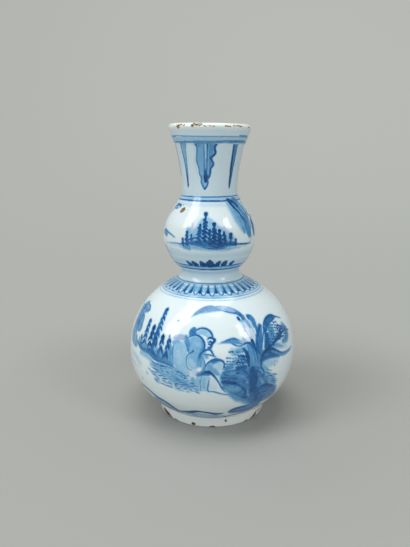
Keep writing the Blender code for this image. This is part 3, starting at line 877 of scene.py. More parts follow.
def arching_leaves():
    """Long leaves that arch out of a dark bank, some of them folded over, between scale-like tufts."""
    lower.stain((
        ([(252, 352), (252.5, 361), (254, 369)], (5, 6, 6), 0.44, 2),
        ([(260, 336), (259.5, 350), (258, 362)], (3, 4, 4), 0.42, 1.8),
        ([(268, 325), (271.6, 332), (271, 340), (268, 348)], (6, 9, 9, 6), 0.50, 3),
        ([(281, 327), (286, 332), (285, 340)], (5, 7, 5), 0.66, 4),
        ([(278, 334), (272, 344), (264, 354)], (5, 5, 4), 0.56, 3), ([(240, 358), (246, 361)], 5, 0.50, 3),
        ([(281, 343), (286, 346)], 5, 0.15, 2.5), ([(236, 361), (244, 357)], 4, 0.30, 3),
        ([(221, 342.8), (228, 341.4), (235, 341.2), (242, 343.8)], (1.5, 4, 5.6, 2), 0.52, 1.6),
        ([(268, 319), (266, 326)], (4, 3), 0.70, 1.2),
        ([(197, 313.6), (205, 309.6), (213, 308.2), (221, 308.6)], (2, 4.5, 5.5, 4), 0.42, 2),
        ([(218, 308.4), (225, 309), (232, 311), (238, 313.4)], (3, 3.8, 4.2, 4), 0.38, 1.6),
        ([(282.6, 325), (286, 331), (286.2, 337), (283, 341)], (6, 9, 9, 5), 0.60, 5),
        ([(264, 352), (270, 350.8), (277, 353), (284, 353.4), (290, 349.2)], (5, 7, 5, 3.5, 2), 0.56, 2.6),
        ([(258, 328), (258.6, 338), (259, 350), (260, 362)], (4, 6, 7, 7), 0.60, 2.4),
        ([(228, 367), (236, 362), (243, 358)], (5, 6, 5), 0.46, 2.5),
        ([(260.6, 360), (262.8, 365), (266, 370)], (3.5, 5, 7), 0.40, 5),
        ([(260.4, 350.4), (263.6, 354.6), (261.6, 361)], (4, 6.4, 4), 0.62, 3),
        ([(264, 354.6), (269.4, 352.6)], (5, 4), 0.60, 2.6),
        ([(264.6, 361.4), (270, 363), (277, 360.6)], (6, 8, 4), 0.24, 5),
        ([(262, 360), (266, 356.8), (272, 355.4), (279, 355.8)], (5.4, 6.2, 5.6, 2.4), 0.76, 4.2),
        ([(266.6, 335), (267.4, 341), (267, 347)], (6, 7.6, 7), 0.78, 3),
        ([(271, 346), (276, 345), (283, 346)], (4, 6, 3), 0.46, 5),
        ([(259.8, 326), (259.4, 336), (259.4, 348)], (5, 7, 7), 0.66, 2),
        ([(243, 319), (247, 322), (250, 327)], (3, 4.5, 3), 0.40, 3),
        ([(241.6, 321), (244.6, 327)], 4.2, 0.36, 3),
        ([(248, 316.4), (252.2, 319.8), (254.6, 326)], (4, 5.4, 4), 0.60, 2.4),
        ([(227.4, 388), (231, 394), (238, 400)], 5.4, 0.50, 4.4),
        ([(234, 353), (241, 350), (246, 347.4)], (6, 7, 4), 0.42, 5.6),
        ([(226, 369), (231, 367)], 5, 0.60, 3),
        ([(202, 311.8), (210, 309.8), (219, 309.4)], (4, 5.8, 4), 0.54, 2.8),
        ([(238, 368.4), (245, 367)], 5, 0.84, 2.6),
        ([(232, 350), (237, 350)], 4, 0.24, 2.5), ([(243, 338), (247, 347)], 3, 0.30, 2),
        ([(199, 311.4), (207, 308.8), (213, 307.6)], (2.4, 3.6, 2.4), 0.60, 1.6),
    ))
    # Pale lilac on the leaves, partly a painted highlight where the right lamp's highlight falls on them and
    # partly cobalt fired to a lilac
    lower.stain((
        ([(222, 308.6), (228, 309.4), (233, 311)], 2.8, 0.55, 2),
        ([(244.6, 322), (248, 329), (252, 337)], 2.5, 0.85, 2),
        ([(240, 341.2), (246, 340.6)], 2.4, 0.55, 2),
    ), "lilac_and_highlight")
    lower.fill((
        ([(242, 320.5), (246.4, 320), (250, 324), (254, 332), (256.5, 341), (253, 341), (248.5, 334),
          (244, 327)], 0.10),
        ([(247, 344), (252, 342), (256.5, 350), (258, 362), (257, 372), (251, 371), (249, 358)], 0.50),
        ([(263.2, 330.6), (263, 323.4), (266, 317.6), (270.6, 315), (275, 316.4), (273.2, 320), (269.6, 324),
          (267.2, 330), (265.2, 334.6)], 0.72),
    ))
    lower.paint((
        ([(191, 317.4), (195.6, 313.8), (200, 311.2), (205.4, 308.6), (211, 307.2), (217, 307.8)],
         (0.5, 2, 3, 3.4, 3, 1.6), (0.30, 0.52, 0.66, 0.66, 0.60, 0.50)),
        ([(217, 309.2), (223, 310.8), (229.6, 312.4), (235.6, 313.2)], (1.2, 0.9, 1.1, 1.6),
         (0.56, 0.54, 0.62, 0.70)),
        ([(217, 306.4), (225, 306.6), (232, 308.6), (238.4, 312), (243.4, 316)], (1, 0.7, 0.9, 1.2, 1),
         (0.50, 0.36, 0.44, 0.62, 0.66)),
        ([(235, 312.4), (240, 314.8), (244.6, 318.6)], (1.2, 2.6, 1.4), 0.70),
        ([(237.6, 317.2), (239.6, 320.4)], (1.2, 1.9, 0.8), 0.90),
        ([(241.2, 316.6), (243.4, 320.2)], (1, 1.5, 0.7), 0.74),
        ([(241, 320.6), (243.6, 327), (247.6, 333.6), (251.8, 340.4)], (0.5, 0.7, 0.7, 0.5), 0.44),
        ([(246, 319.4), (250, 324.6), (253.6, 331), (256, 337.6)], (0.5, 0.6, 0.5), 0.40),
        ([(246.8, 315.2), (250.4, 316.4), (253.6, 320.8), (255.6, 326.4), (256.6, 332)],
         (1.2, 2.2, 2.3, 1.6, 0.8), (0.80, 0.64, 0.62, 0.66)),
        ([(247.2, 316.6), (249, 319.6)], (1, 1.3, 0.5), 0.78),
        ([(260, 325.6), (258.4, 331), (257, 338), (257.2, 346), (259.4, 353.4)], (1, 2, 2.2, 2.1, 1.4),
         (0.88, 0.80, 0.70, 0.72, 0.80)),
        ([(263.6, 330), (262.4, 339), (261.4, 347), (260.2, 357)], (0.7, 1.3, 1.4, 1), 0.68),
        ([(252, 340.2), (254.2, 346), (256.8, 353), (258, 362)], (2, 2.2, 1.2, 0.7), (0.92, 0.84, 0.72)),
        ([(240.4, 346.2), (244.6, 343.6), (248.4, 342.8), (251.2, 345.2), (253.6, 351.4), (254.8, 360)],
         (0.7, 1.3, 1.4, 1.2, 0.9, 0.7), (0.66, 0.78, 0.80, 0.72, 0.66)),
        ([(243.2, 348.6), (246, 351.6), (248.2, 357.4), (249, 366)], (1.6, 2.3, 2.6, 1.8),
         (0.80, 0.84, 0.88, 0.84)),
        ([(251.6, 352), (252.4, 360), (252.4, 369)], (0.5, 0.8, 0.7), 0.66),
        ([(255.6, 356), (255.8, 364)], (0.4, 0.8, 0.6), 0.66),
        ([(218, 344), (223, 342.4), (229, 339.8), (234, 338.6), (238.4, 340), (243, 341.8)],
         (0.3, 0.9, 1.2, 1.3, 0.8, 0.5), (0.36, 0.60, 0.74, 0.70, 0.60, 0.50)),
        ([(229, 340.8), (232.6, 343.6), (237, 345.8), (241.6, 345.8)], (0.8, 1.1, 1, 0.8), 0.66),
        ([(263.2, 327), (264.4, 320.6), (267.6, 316.4), (271.4, 315), (275.2, 316.6)],
         (0.8, 1.4, 1.8, 1.5, 1), 0.82),
        ([(274.6, 316.2), (277.4, 316.9), (280.2, 317.8)], (1.2, 0.8, 0.5), 0.70),
        ([(287, 328.6), (282.6, 331), (279.4, 335), (276, 340), (272.4, 344.6), (268, 349.4)],
         (0.7, 1.8, 2.6, 1.5, 1.3), 0.86),
        ([(281, 327.4), (279.6, 331), (280.4, 336)], (0.8, 2.2, 0.9), 0.92),
        ([(284.4, 335.4), (281, 336.6), (277.6, 340)], (0.6, 1.5, 0.7), 0.80),
        ([(268.2, 345.6), (270.8, 347.4)], (1.2, 2, 0.9), 0.92),
        ([(260.8, 361), (263.6, 354), (267.6, 349.6), (272, 348.6), (276.8, 350.4), (281.4, 352.4),
          (286.2, 351), (291.2, 346.4)], (1.8, 2.5, 2.8, 2.2, 1.5, 1.2, 1, 0.7),
         (0.88, 0.94, 0.96, 0.88, 0.76, 0.66, 0.56)),
        ([(266, 352.2), (270, 352.6), (275, 354.6), (281.4, 354.9)], (1.4, 2.4, 1.6, 0.6),
         (0.84, 0.80, 0.66)),
        ([(263, 357.4), (260.8, 365.6)], (1.6, 1.5), 0.80),
    ))
    scales(lower, (
        (351.6, 236, 246), (354.8, 234, 247), (358.2, 226.6, 247), (361.4, 226.6, 247), (364.4, 225.4, 245),
        (367.2, 223.6, 236),
    ), step=2.9, size=0.95, tone=0.78)
    scales(lower, (
        (352, 229.6, 232), (356.2, 239, 247), (359.8, 238, 248), (362.6, 236, 246),
    ), step=2.4, size=1.1, tone=0.94)
    scales(lower, (
        (322, 272.5, 277.5), (324.8, 269.5, 278), (327.6, 266, 279), (330.4, 265.4, 278.5),
        (333.2, 265.4, 276), (336, 265.4, 274.5), (338.8, 267, 274), (341.6, 268, 273.5), (344.4, 268, 273),
    ), step=2.5, size=1.0, tone=0.84)
    scales(lower, (
        (326, 277, 284), (328.6, 277, 288), (333.4, 276, 287), (338.4, 272, 281), (341.6, 266, 274),
        (344.6, 265.6, 273),
    ), step=2.3, size=1.1, tone=0.92)


def dark_bank():
    """The bank under the leaves: broad wet strokes of the deepest blue, thinner in places."""
    lower.pool((
        ([(220, 377), (222.6, 372.6), (231, 369.6), (243, 366), (257, 364), (262, 368), (265, 374),
          (270, 382), (276, 385.6), (273, 393), (265, 399), (253, 403), (243, 401), (236, 396.6),
          (228, 391.4), (222, 386)], 0.64, 5.5),
        ([(228, 388), (240, 392), (252, 398), (268, 391), (262, 400), (251, 404.6), (241, 402.6), (233, 396)],
         0.52, 6),
        ([(262, 369), (268, 371), (274, 376), (275, 384), (266, 384), (262, 376)], 0.44, 3),
        ([(247, 390), (256, 386), (266, 383), (275.6, 386), (273.6, 393), (265, 399.4), (254, 403.4),
          (246, 401)], 0.70, 5.5),
    ))
    lower.stain((
        ([(252.4, 370), (253.8, 379), (252.4, 388)], (9, 12, 9), 0.86, 4.6),
        ([(254, 386), (256.6, 394), (255, 400)], (6, 8, 5), 0.82, 4),
        ([(223, 372.6), (230, 371.2), (240, 369.6)], 2.4, 0.70, 2),
        ([(221.4, 378), (229, 377.8), (237, 378.8)], 2.2, 0.80, 1.8),
        ([(223, 382.2), (230, 382.4), (236, 383.8)], 4, 0.92, 2.2),
        ([(236, 383.8), (242, 387.6), (245.4, 392), (243.6, 397.4)], (3, 3.4, 3.8, 2), 0.84, 2.2),
        ([(260, 386.6), (266, 384.8), (274, 385.6)], (3, 4.4, 2), 0.86, 2),
        ([(262, 391.8), (267, 391), (271.6, 388.6)], (2, 3.4, 1.6), 0.84, 1.8),
        ([(261, 366.6), (263.6, 373.2), (260.2, 379.4)], (2, 3.6, 2), 0.80, 1.6),
        ([(241, 370), (246, 372), (250, 378), (248.8, 386)], (2, 3, 3, 2), 0.80, 2),
        ([(222.6, 387), (230, 391.6), (238, 396)], 2, 0.74, 1.8),
        ([(266, 396.6), (258, 400.6), (249.6, 403)], (2, 3, 2), 0.80, 2),
    ))
    for level in np.linspace(370.6, 399, 26):
        start = rng.uniform(222 + max(level - 384, 0) * 1.1, 262)
        middle, end = level + rng.uniform(-0.6, 0.8), level + rng.uniform(-0.8, 1.2)
        touch = lower.seen([(start, level), (start + 3, middle), (start + 6, end)])
        lower.stroke(touch, (0.5, rng.uniform(0.8, 1.5), 0.4), rng.uniform(0.78, 0.94))
    lower.stain((
        ([(230, 388.6), (237.5, 388.8)], 7, 0.26, 3),
        ([(229, 373.8), (236, 373)], 2.2, 0.26, 1.8), ([(238.6, 375.4), (244.6, 377)], 2.4, 0.24, 1.6),
        ([(226, 387.4), (233, 389.4)], 2.2, 0.32, 1.8),
        ([(260.6, 378.6), (263, 382.6)], 2.6, 0.34, 1.6), ([(247.6, 391), (248.4, 396)], 1.6, 0.36, 1.3),
        ([(262, 394.6), (267, 391.6), (271, 388)], 1.4, 0.30, 1.4),
        ([(261.4, 370.4), (263, 373)], 2, 0.38, 1.5),
        ([(246, 379.8), (247.4, 382.6)], 1.4, 0.4, 1.3),
    ), "lift")
    top_line, bottom_line = [(263, 368), (268, 369), (273, 370.4)], [(263, 381.6), (268, 382.6), (274, 384)]
    ripples(lower, top_line, bottom_line, rows=6, length=5.2, tone=0.94)


def lines_round_the_foot():
    """Lines drawn round the foot of the bulb, and the light bands that they leave open at the front."""
    lower.fill((
        ([(182, 412.8), (190, 413), (202, 413.6), (213, 415.2), (222, 415.4), (226, 415.6), (212, 417.2),
          (198, 416.2), (187, 414.4)], 0.33),
    ))
    lower.pool((
        ([(156, 396.4), (164, 402.4), (174, 408.6), (184, 412.4), (180, 413.8), (170, 410.4), (161, 404.4),
          (155, 399.4)], 0.42, 2),
        ([(228, 412.2), (234, 409), (242, 406), (251, 403.6), (260, 400.6), (257, 405.6), (247, 409.2),
          (239, 411.8), (231, 413)], 0.66, 1.8),
    ))
    lower.stain((
        ([(236, 410.6), (244, 408.2), (252, 405.6)], 1, 0.40, 1),
        ([(246, 406.6), (254, 404.2)], 0.8, 0.30, 0.8),
    ), "lift")
    lower.paint((
        ([(141, 382.6), (144.5, 385.8), (148, 388.8), (152, 392.4), (156, 395.8), (160, 398.6), (165, 401.6),
          (170, 405), (174, 407.8), (179, 410.8)], (1.2, 2.4, 3.2, 3.8, 4, 3.8, 3.4, 2.4),
         (0.56, 0.64, 0.70, 0.74, 0.84, 0.94)),
        ([(161, 401.8), (166, 405), (172, 408.6), (178, 411.2), (184, 413.4), (190, 415), (196, 416.2),
          (203, 417.2), (212, 417.6), (222, 417), (230, 415.4), (238, 413.4), (246, 410.8), (252, 408.2)],
         (1.4, 2, 2, 1.9, 2.2, 2.6, 2.6, 2.2, 1.6), (0.66, 0.80, 0.80, 0.78, 0.84, 0.94, 0.94, 0.88, 0.76)),
        ([(178, 410.8), (184, 411.5), (190, 412), (196, 411.4), (203, 412), (210, 413.1), (216, 414),
          (222, 413.4)], (1.6, 2.4, 3.6, 2.6, 2, 2.4, 3.2, 1.4), (0.82, 0.88, 0.98, 0.94, 0.86, 0.92, 0.98)),
        ([(228.6, 411.4), (233, 409.2), (240, 407), (246, 405.6), (252, 404), (258, 401.6)],
         (1, 2, 1.8, 1.4, 1), (0.94, 0.90, 0.86, 0.76, 0.66)),
        ([(230, 412.6), (238, 411.8), (246, 409.8), (252, 407.6), (258, 404.4)], (0.8, 1.6, 1.2, 1),
         (0.90, 0.86, 0.74, 0.66)),
    ))


# The front as the photograph has it. The back isn't seen: the same things are painted round it, some
# the other way about.
paint_round(lower, (
    (0, 1, (firs_on_a_bank, scholars_rocks, arching_leaves, dark_bank, lines_round_the_foot)),
    (166, -1, (arching_leaves, dark_bank)),
    (203, 1, (scholars_rocks,)),
    (187, -1, (firs_on_a_bank,)),
    (180, 1, (lines_round_the_foot,)),
))

# The collar of tongues on the shoulder, from their roots down to their tips, in mm
TONGUES = 34
TONGUE_ROOTS = 96.0
TONGUE_TIPS = 92.0


def all_round(surface, levels):
    """A closed path round the pot, at one level or at several levels in even steps round it, in mm."""
    degrees = np.arange(0, 360, 6)
    places = np.stack([degrees, np.broadcast_to(levels, degrees.shape)], axis=1)
    path = surface.around(places, closed=True)
    return np.concatenate([path, path[:1]])


def ring(surface, height, width, tone, wander=0.12):
    """A line drawn round the pot as it turned, not quite level and not quite even."""
    turns = np.radians(np.arange(0, 360, 6))
    waves = np.array([noise.noise(Vector((cos(turn), sin(turn), height))) for turn in turns])
    path = all_round(surface, height + wander * waves * 2)
    surface.stroke(path, width * rng.uniform(0.8, 1.2, 12), tone * rng.uniform(0.85, 1.1, 14))


def band(surface, height, width, tone, softness):
    """A thin wash round the pot with soft edges."""
    surface.spread(all_round(surface, height), width, tone, softness)


band(lower, 94.0, 5.0, 0.39, 0.8)
ring(lower, 97.0, 0.8, 0.54)
band(lower, 96.2, 0.9, 0.30, 0.5)
band(lower, 91.3, 1.7, 0.30, 0.7)
ring(lower, 90.3, 0.7, 0.46, 0.2)
ring(lower, 89.2, 0.55, 0.34, 0.2)
half = 360 / TONGUES / 2
for tongue in range(TONGUES):
    middle = (tongue + rng.uniform(-0.14, 0.14)) * 360 / TONGUES
    tip = TONGUE_TIPS + rng.uniform(-0.3, 0.3)
    body = [(middle, TONGUE_ROOTS), (middle, 94.2), (middle, tip + 0.9)]
    lower.spread(lower.around(body), (1.2, 1.8, 2.3), rng.uniform(0.15, 0.52), 0.8, "lift")
    curve = ((-0.56, 1.5), (-0.46, 0.2), (0, -0.5), (0.46, 0.2), (0.56, 1.5))
    edge = [(middle + half * across, tip + up) for across, up in curve]
    lower.stroke(lower.around(edge), (0.7, 0.9, 0.9, 0.9, 0.7), rng.uniform(0.62, 0.76))
    between = middle + half * rng.uniform(0.9, 1.1)
    wedge = [(between, 96.3), (between, 94.6), (between, 92.7 + rng.uniform(-0.2, 0.3))]
    tones = (0.58, rng.uniform(0.68, 0.84), rng.uniform(0.84, 1.0))
    lower.stroke(lower.around(wedge), (0.8, 1.5, 2.0), tones)

# Low on the bulb, where it is unpainted, the glaze is thinner and warmer. The heights are in mm.
THIN_FROM, THINNEST_FROM, THINNESS = 32, 12, 0.36
how_low = np.clip((THIN_FROM - lower.height) / (THIN_FROM - THINNEST_FROM), 0, 1)
unpainted = 1 - np.clip(lower.layers["wash_tone"] + lower.layers["ink_tone"], 0, 1)
lower.layers["thin_and_highlight"] = how_low * THINNESS * unpainted

# Two stray lines along the edge of the shoulder
lower.paint((
    ([(158, 287.4), (152, 292.8), (147, 298), (143.4, 303.4)], (1.2, 1.5, 1.4, 1), 0.64),
    ([(262.4, 284), (266.8, 286.6), (270.8, 289.6)], (0.3, 0.6, 0.4), 0.90),
))

# Pinholes where the glaze crawled off a speck
PINHOLE_WIDTH = 0.9
for x, y, tone in (
    (178.3, 320.6, 0.80), (245.2, 330.6, 0.70), (274.3, 364.8, 0.70), (147.2, 373.2, 0.45),
    (142.6, 378, 0.40),
):
    lower.stroke(lower.seen([(x, y), (x + 0.3, y)]), PINHOLE_WIDTH, tone)
lower.finish()
place_on_the_vase(lower, "lower_bulb")

# The waist collar
# The short pinched ring between the two bulbs. It has no painting, and its glaze has a blue cast, as
# it has on the neck, from cobalt that came off the bulbs. Towards the upper bulb painted shade darkens
# the cast.
CAST = 0.06
# Painted shade under the upper bulb: the cast deepens by this much over its last 6 mm
SHADE_UNDER_BULB, SHADE_UNDER_BULB_REACH = 0.13, 6
waist_bore = wall_inside(waist_outside, WALL_AT_WAIST, WALL_AT_UPPER_BASE, 5)
waist = Surface("waist_collar_piece", waist_outside, waist_bore, 180, 120)
# Painted shade, deepest just under the upper bulb, on top of the blue cast
shade_under_bulb_share = np.clip((waist.height - WAIST_TOP + SHADE_UNDER_BULB_REACH) / SHADE_UNDER_BULB_REACH, 0, 1)
waist.layers["haze_and_shade"] += CAST + SHADE_UNDER_BULB * shade_under_bulb_share
waist.finish()
place_on_the_vase(waist, "waist_collar")

# The upper bulb
# The small bulb, painted with an island of conifers in still water and a cliff that leans in over it.
# Tufts of grass stand on the lines round its foot, and more lines run round the foot of the neck.
NECK_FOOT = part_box("neck")[0].z / MM - SLIP
UPPER_BELLY_RADIUS = 31.8
UPPER_BELLY_HEIGHT = 19.5
NECK_RADIUS = 18.8
upper_outside = bulb(
    base=(UPPER_BASE_RADIUS, WAIST_TOP),
    base_step=slope_step(7.4, UPPER_BASE_SLOPE),
    belly=(UPPER_BELLY_RADIUS, WAIST_TOP + UPPER_BELLY_HEIGHT),
    below=5.4,
    above=12.4,
    top=(NECK_RADIUS, NECK_FOOT),
    top_step=slope_step(17.4, 58.5),
    count=142,
)
upper_bore = wall_inside(upper_outside, WALL_AT_UPPER_BASE, WALL_AT_NECK_FOOT, 12)
upper = Surface("upper_bulb_piece", upper_outside, upper_bore, 300, 200)


def conifer(stem, tiers, reach, tone, head):
    """A conifer: a trunk with a dab of the brush to each side at every tier, under a round head."""
    stem = smooth(stem)
    upper.stroke(upper.seen([stem[0], stem[len(stem) // 2], stem[-1]]), (1.1, 1.3, 1.7), tone * 0.90)
    for level in np.linspace(0.25, 0.9, tiers) if tiers > 1 else (0.6,):
        for side in (-1, 1):
            middle = place_on(stem, level + 0.04 * side)
            out = side * reach * (0.62 + 0.34 * level) * rng.uniform(0.8, 1.25)
            tip = middle + (out, rng.uniform(1.2, 2.4))
            upper.stroke(upper.seen([middle, tip]), (1.5, 1.8, 1.1), tone * rng.uniform(0.88, 1.04))
    upper.stroke(upper.seen([stem[0] + (0, 0.3), stem[0] + (0, 1.9)]), (head, head * 0.8), tone)


def wooded_island():
    """An island of conifers with round heads, in still water."""
    upper.stain((
        ([(187, 236), (199, 230), (206, 222), (215, 229), (227, 235), (235, 240)],
         (4, 9, 10, 10, 8, 4), 0.30, 4),
        ([(190, 240), (200, 236), (214, 236), (230, 240)], (4, 9, 11, 5), 0.36, 3),
        ([(180, 246), (197, 247.6), (212, 248.8), (226, 248.6), (240, 246.6)], (2, 5, 5, 5, 2), 0.34, 4.5),
        ([(186, 243), (196, 243.2), (208, 243.8), (222, 244.2), (234, 243.2)], (2.5, 6, 8, 8, 4), 0.70, 2.6),
        ([(184, 246.4), (189, 248)], 4.4, 0.50, 3.4), ([(188.6, 229), (190, 235)], 5, 0.34, 3),
        ([(170, 244), (180, 245.6), (190, 247.6)], (2, 3, 3), 0.14, 3),
        ([(236, 245.8), (246, 245.4)], 3, 0.14, 3),
    ))
    for stem, tiers, reach, tone, head in (
        ([(182.8, 238.6), (183.3, 245)], 1, 1.2, 0.92, 1.7),
        ([(187.1, 231.8), (186.6, 244)], 3, 1.7, 0.90, 2),
        ([(191.4, 234.6), (191.4, 240.4)], 1, 1.4, 0.84, 1.5),
        ([(200.4, 224.6), (199.4, 231), (198.6, 240)], 4, 2.1, 0.88, 1.8),
        ([(206, 213.4), (205.4, 222), (205, 231), (204.4, 242)], 6, 2.8, 0.94, 2.5),
        ([(209.8, 230.4), (210, 243.6)], 3, 2, 0.92, 2.3),
        ([(214.2, 223.8), (214.6, 233), (214.4, 244)], 5, 2.5, 0.98, 2.7),
        ([(219.5, 230.4), (219.6, 244.6)], 4, 2.3, 0.98, 2.4),
        ([(224.2, 232), (225, 243.6)], 3, 2, 0.96, 1.6),
        ([(230.8, 234.2), (230.6, 244)], 2, 2, 0.92, 2.6),
        ([(235.6, 239.4), (235.8, 245)], 1, 1.4, 0.88, 1.7),
    ):
        conifer(stem, tiers, reach, tone, head)
    # Painted highlights in pale lilac over the trees, where the lamps' highlights fall
    upper.stain((
        ([(192.5, 223.6), (191.9, 230)], 2.6, 0.80, 2), ([(224.2, 227.4), (226.4, 231)], 2.6, 0.80, 2),
    ), "lilac_and_highlight")
    upper.paint((
        ([(186.6, 239.8), (191.6, 238.6), (196.6, 237.4)], (0.6, 0.9, 0.8), 0.86),
        ([(187.6, 244), (192.4, 241.8), (198, 240.6)], (0.6, 0.9, 0.7), 0.70),
        ([(167, 242.3), (175, 243.1), (184, 244.6), (190, 246.2)], (0.4, 0.9, 1.3, 0.8), (0.40, 0.50, 0.66)),
        ([(236, 244.2), (242, 243.9), (246.6, 243.5), (250.4, 242.6)], (0.9, 1.1, 1, 0.4), 0.84),
        ([(193, 243), (199, 242.6), (203, 244.6)], (0.8, 1.8, 0.8), 0.80),
        ([(206, 243.4), (213, 246.6), (221, 246.2), (226, 244.6)], (0.8, 1.6, 1.8, 0.8), 0.82),
        ([(200, 246.6), (208, 248.4), (218, 249), (226, 248)], (0.6, 1.2, 1.3, 0.6), 0.70),
        ([(228, 244.6), (234, 244.8)], (1.6, 1.6), 0.80),
    ))


def cliff():
    """A steep cliff that leans in from the side."""
    upper.stain((
        ([(226.6, 202), (231.6, 210), (237.4, 220), (242, 229)], (3, 5, 7, 3), 0.38, 6),
        ([(230.4, 203), (235.6, 212), (240.6, 221), (244.6, 231)], (4, 5, 6, 5), 0.46, 3),
        ([(234.5, 201.4), (240.4, 208), (245.6, 216), (248.4, 225), (249.6, 234)],
         (10, 11, 10, 10, 7), 0.58, 3),
        ([(228.6, 199.8), (233.4, 202.4), (237, 206)], 3.6, 0.88, 2),
        ([(240.6, 216), (244.6, 222.6), (246.4, 229)], (3, 4, 3), 0.66, 2.4),
        ([(250.4, 217), (252.8, 225), (253.8, 233)], (4, 8, 5), 0.84, 2.2),
        ([(245.4, 224), (247.4, 232)], (4, 3), 0.54, 3),
        ([(252, 236), (250, 241)], 4, 0.16, 3),
    ))
    upper.stain((
        ([(237.6, 202.6), (240.6, 207.6), (243.8, 212)], 2, 0.40, 1.6),
        ([(248.6, 218), (249.6, 226)], 1.6, 0.45, 1.6),
    ), "lift")
    upper.paint((
        ([(227.4, 199.6), (230.2, 203.2), (233.6, 206.8), (237.4, 211), (241.2, 215.6), (244.8, 220),
          (247, 224.4)], (1.9, 2.3, 2.1, 1.9, 1.6, 1), (0.92, 0.90, 0.84, 0.90, 0.80, 0.66)),
        ([(231.6, 200.4), (236, 205.6), (241.4, 211), (245.6, 216.4)], (0.5, 1, 0.6), 0.62),
        ([(239.4, 199.6), (242.6, 205.4), (246, 210.6), (247.4, 214), (251.4, 216.2), (254.2, 221)],
         (0.6, 0.9, 1.6, 1, 0.9, 0.8), (0.70, 0.74, 0.88, 0.76, 0.74)),
        ([(250.4, 220), (252.6, 227), (253.8, 233)], (1.2, 2.8, 1.6), 0.92),
        ([(246.8, 229.6), (247.4, 234.6)], (0.8, 1.3, 0.6), 0.62),
    ))


def leaves_at_the_edge():
    """The end of a branch, a clump of leaves, and the line of a shore."""
    upper.stain((
        ([(176.4, 205.8), (179.4, 205.2)], 2.6, 0.62, 1.4), ([(165, 230.8), (166.8, 233.6)], 5.5, 0.56, 2),
        ([(165, 226), (167, 216), (173, 208)], 2, 0.20, 2), ([(170, 249), (180, 252)], 5, 0.12, 4),
    ))
    upper.paint((
        ([(175.4, 206.6), (178.2, 204), (181, 205.2), (180.2, 207)], (0.7, 1.5, 1.6, 0.8), 0.74),
        ([(175.6, 208), (178.4, 207.8)], (0.8, 1.3, 0.6), 0.62),
        ([(175.6, 207.2), (172.2, 211), (169.6, 214.8), (167.2, 219.4), (165.8, 224)], (1.1, 0.8, 0.7, 0.5),
         (0.66, 0.60, 0.54, 0.40)),
        ([(165.6, 229), (168.8, 232.4), (172, 234.9), (174.6, 237.2)], (1.3, 1, 0.7, 0.5), 0.70),
        ([(183.6, 204.4), (183.7, 204.9)], 0.5, 0.6),
        ([(165.6, 243.6), (167.4, 247.6), (169.4, 252.2), (172.6, 257.2)], (0.8, 1.4, 1.2, 0.6), 0.66),
    ))


def tufts():
    """Tufts of grass over the lowest lines, which lean outwards from the middle."""
    for low, high, widths, tone in (
        ((190.8, 264.4), (187.4, 261.5), (3.2, 2.6, 1.8), 0.92),
        ((196.4, 264.9), (192.9, 262.1), (3.4, 3.1, 2.0), 1.00),
        ((204.2, 265.1), (200.9, 262.0), (3.6, 2.9, 1.8), 1.00),
        ((201.6, 264.9), (200.6, 262.4), (2.4, 1.4), 0.98),
        ((210.4, 265.2), (209.8, 261.2), (4.8, 4.2, 2.2), 1.00),
        ((207.8, 264.6), (207.2, 262.6), (2.4, 1.6), 0.96),
        ((213.0, 265.0), (212.3, 263.0), (2.4, 1.6), 1.00),
        ((216.8, 265.1), (219.4, 262.1), (3.4, 3.0, 2.2), 1.00),
        ((223.6, 264.5), (225.4, 262.1), (3.8, 3.6, 2.8), 1.00),
        ((230.8, 263.5), (233.0, 261.6), (2.8, 2.6, 2.0), 0.92),
    ):
        upper.stroke(upper.seen([low, high]), widths, tone)


paint_round(upper, (
    (0, 1, (wooded_island, cliff, leaves_at_the_edge, tufts)),
    (75, 1, (cliff,)), (120, 1, (tufts,)), (188, -1, (wooded_island,)), (240, 1, (tufts,)),
    (325, 1, (leaves_at_the_edge,)),
))
ring(upper, 107.0, 1.3, 0.86)
band(upper, 108.5, 1.8, 0.30, 0.6)
ring(upper, 109.5, 0.9, 0.74)
# Painted shade: faint blue washes darken the underside of the bulb, below its belly
band(upper, 112.0, 6.0, 0.15, 5)
band(upper, 117.0, 5.0, 0.13, 6)

# The lines round the foot of the neck
ring(upper, 153.7, 0.9, 0.66)
ring(upper, 151.4, 1.1, 0.70)
band(upper, 152.6, 1.6, 0.26, 0.6)
band(upper, 149.0, 2.5, 0.10, 2.5)

# One chip at the left, down to the buff body
upper.chip(upper.seen([(181.2, 211.0), (182.4, 210.2), (183.8, 209.2)]), (2.6, 3.3, 2.7), 0.7, 0.45)
upper.finish()
place_on_the_vase(upper, "upper_bulb")

# The neck
# It flares upwards from the upper bulb. Long leaves with wavy edges hang round it from the collar,
# with a narrow spike between each leaf and the next.
COLLAR_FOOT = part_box("lip_collar")[0].z / MM - SLIP
NECK_MOUTH_RADIUS = 23.2
NECK_MOUTH_SLOPE = 76
NECK_PULL = 12.0
neck_low, neck_high = np.array((NECK_RADIUS, NECK_FOOT)), np.array((NECK_MOUTH_RADIUS, COLLAR_FOOT))
neck_pull = neck_high - slope_step(NECK_PULL, NECK_MOUTH_SLOPE)
neck_outside = evenly(arc(neck_low, neck_low + (0, NECK_PULL), neck_pull, neck_high, 40), 96)
neck_bore = wall_inside(neck_outside, WALL_AT_NECK_FOOT, WALL_AT_NECK, 8)
neck = Surface("neck_piece", neck_outside, neck_bore, 240, 140)


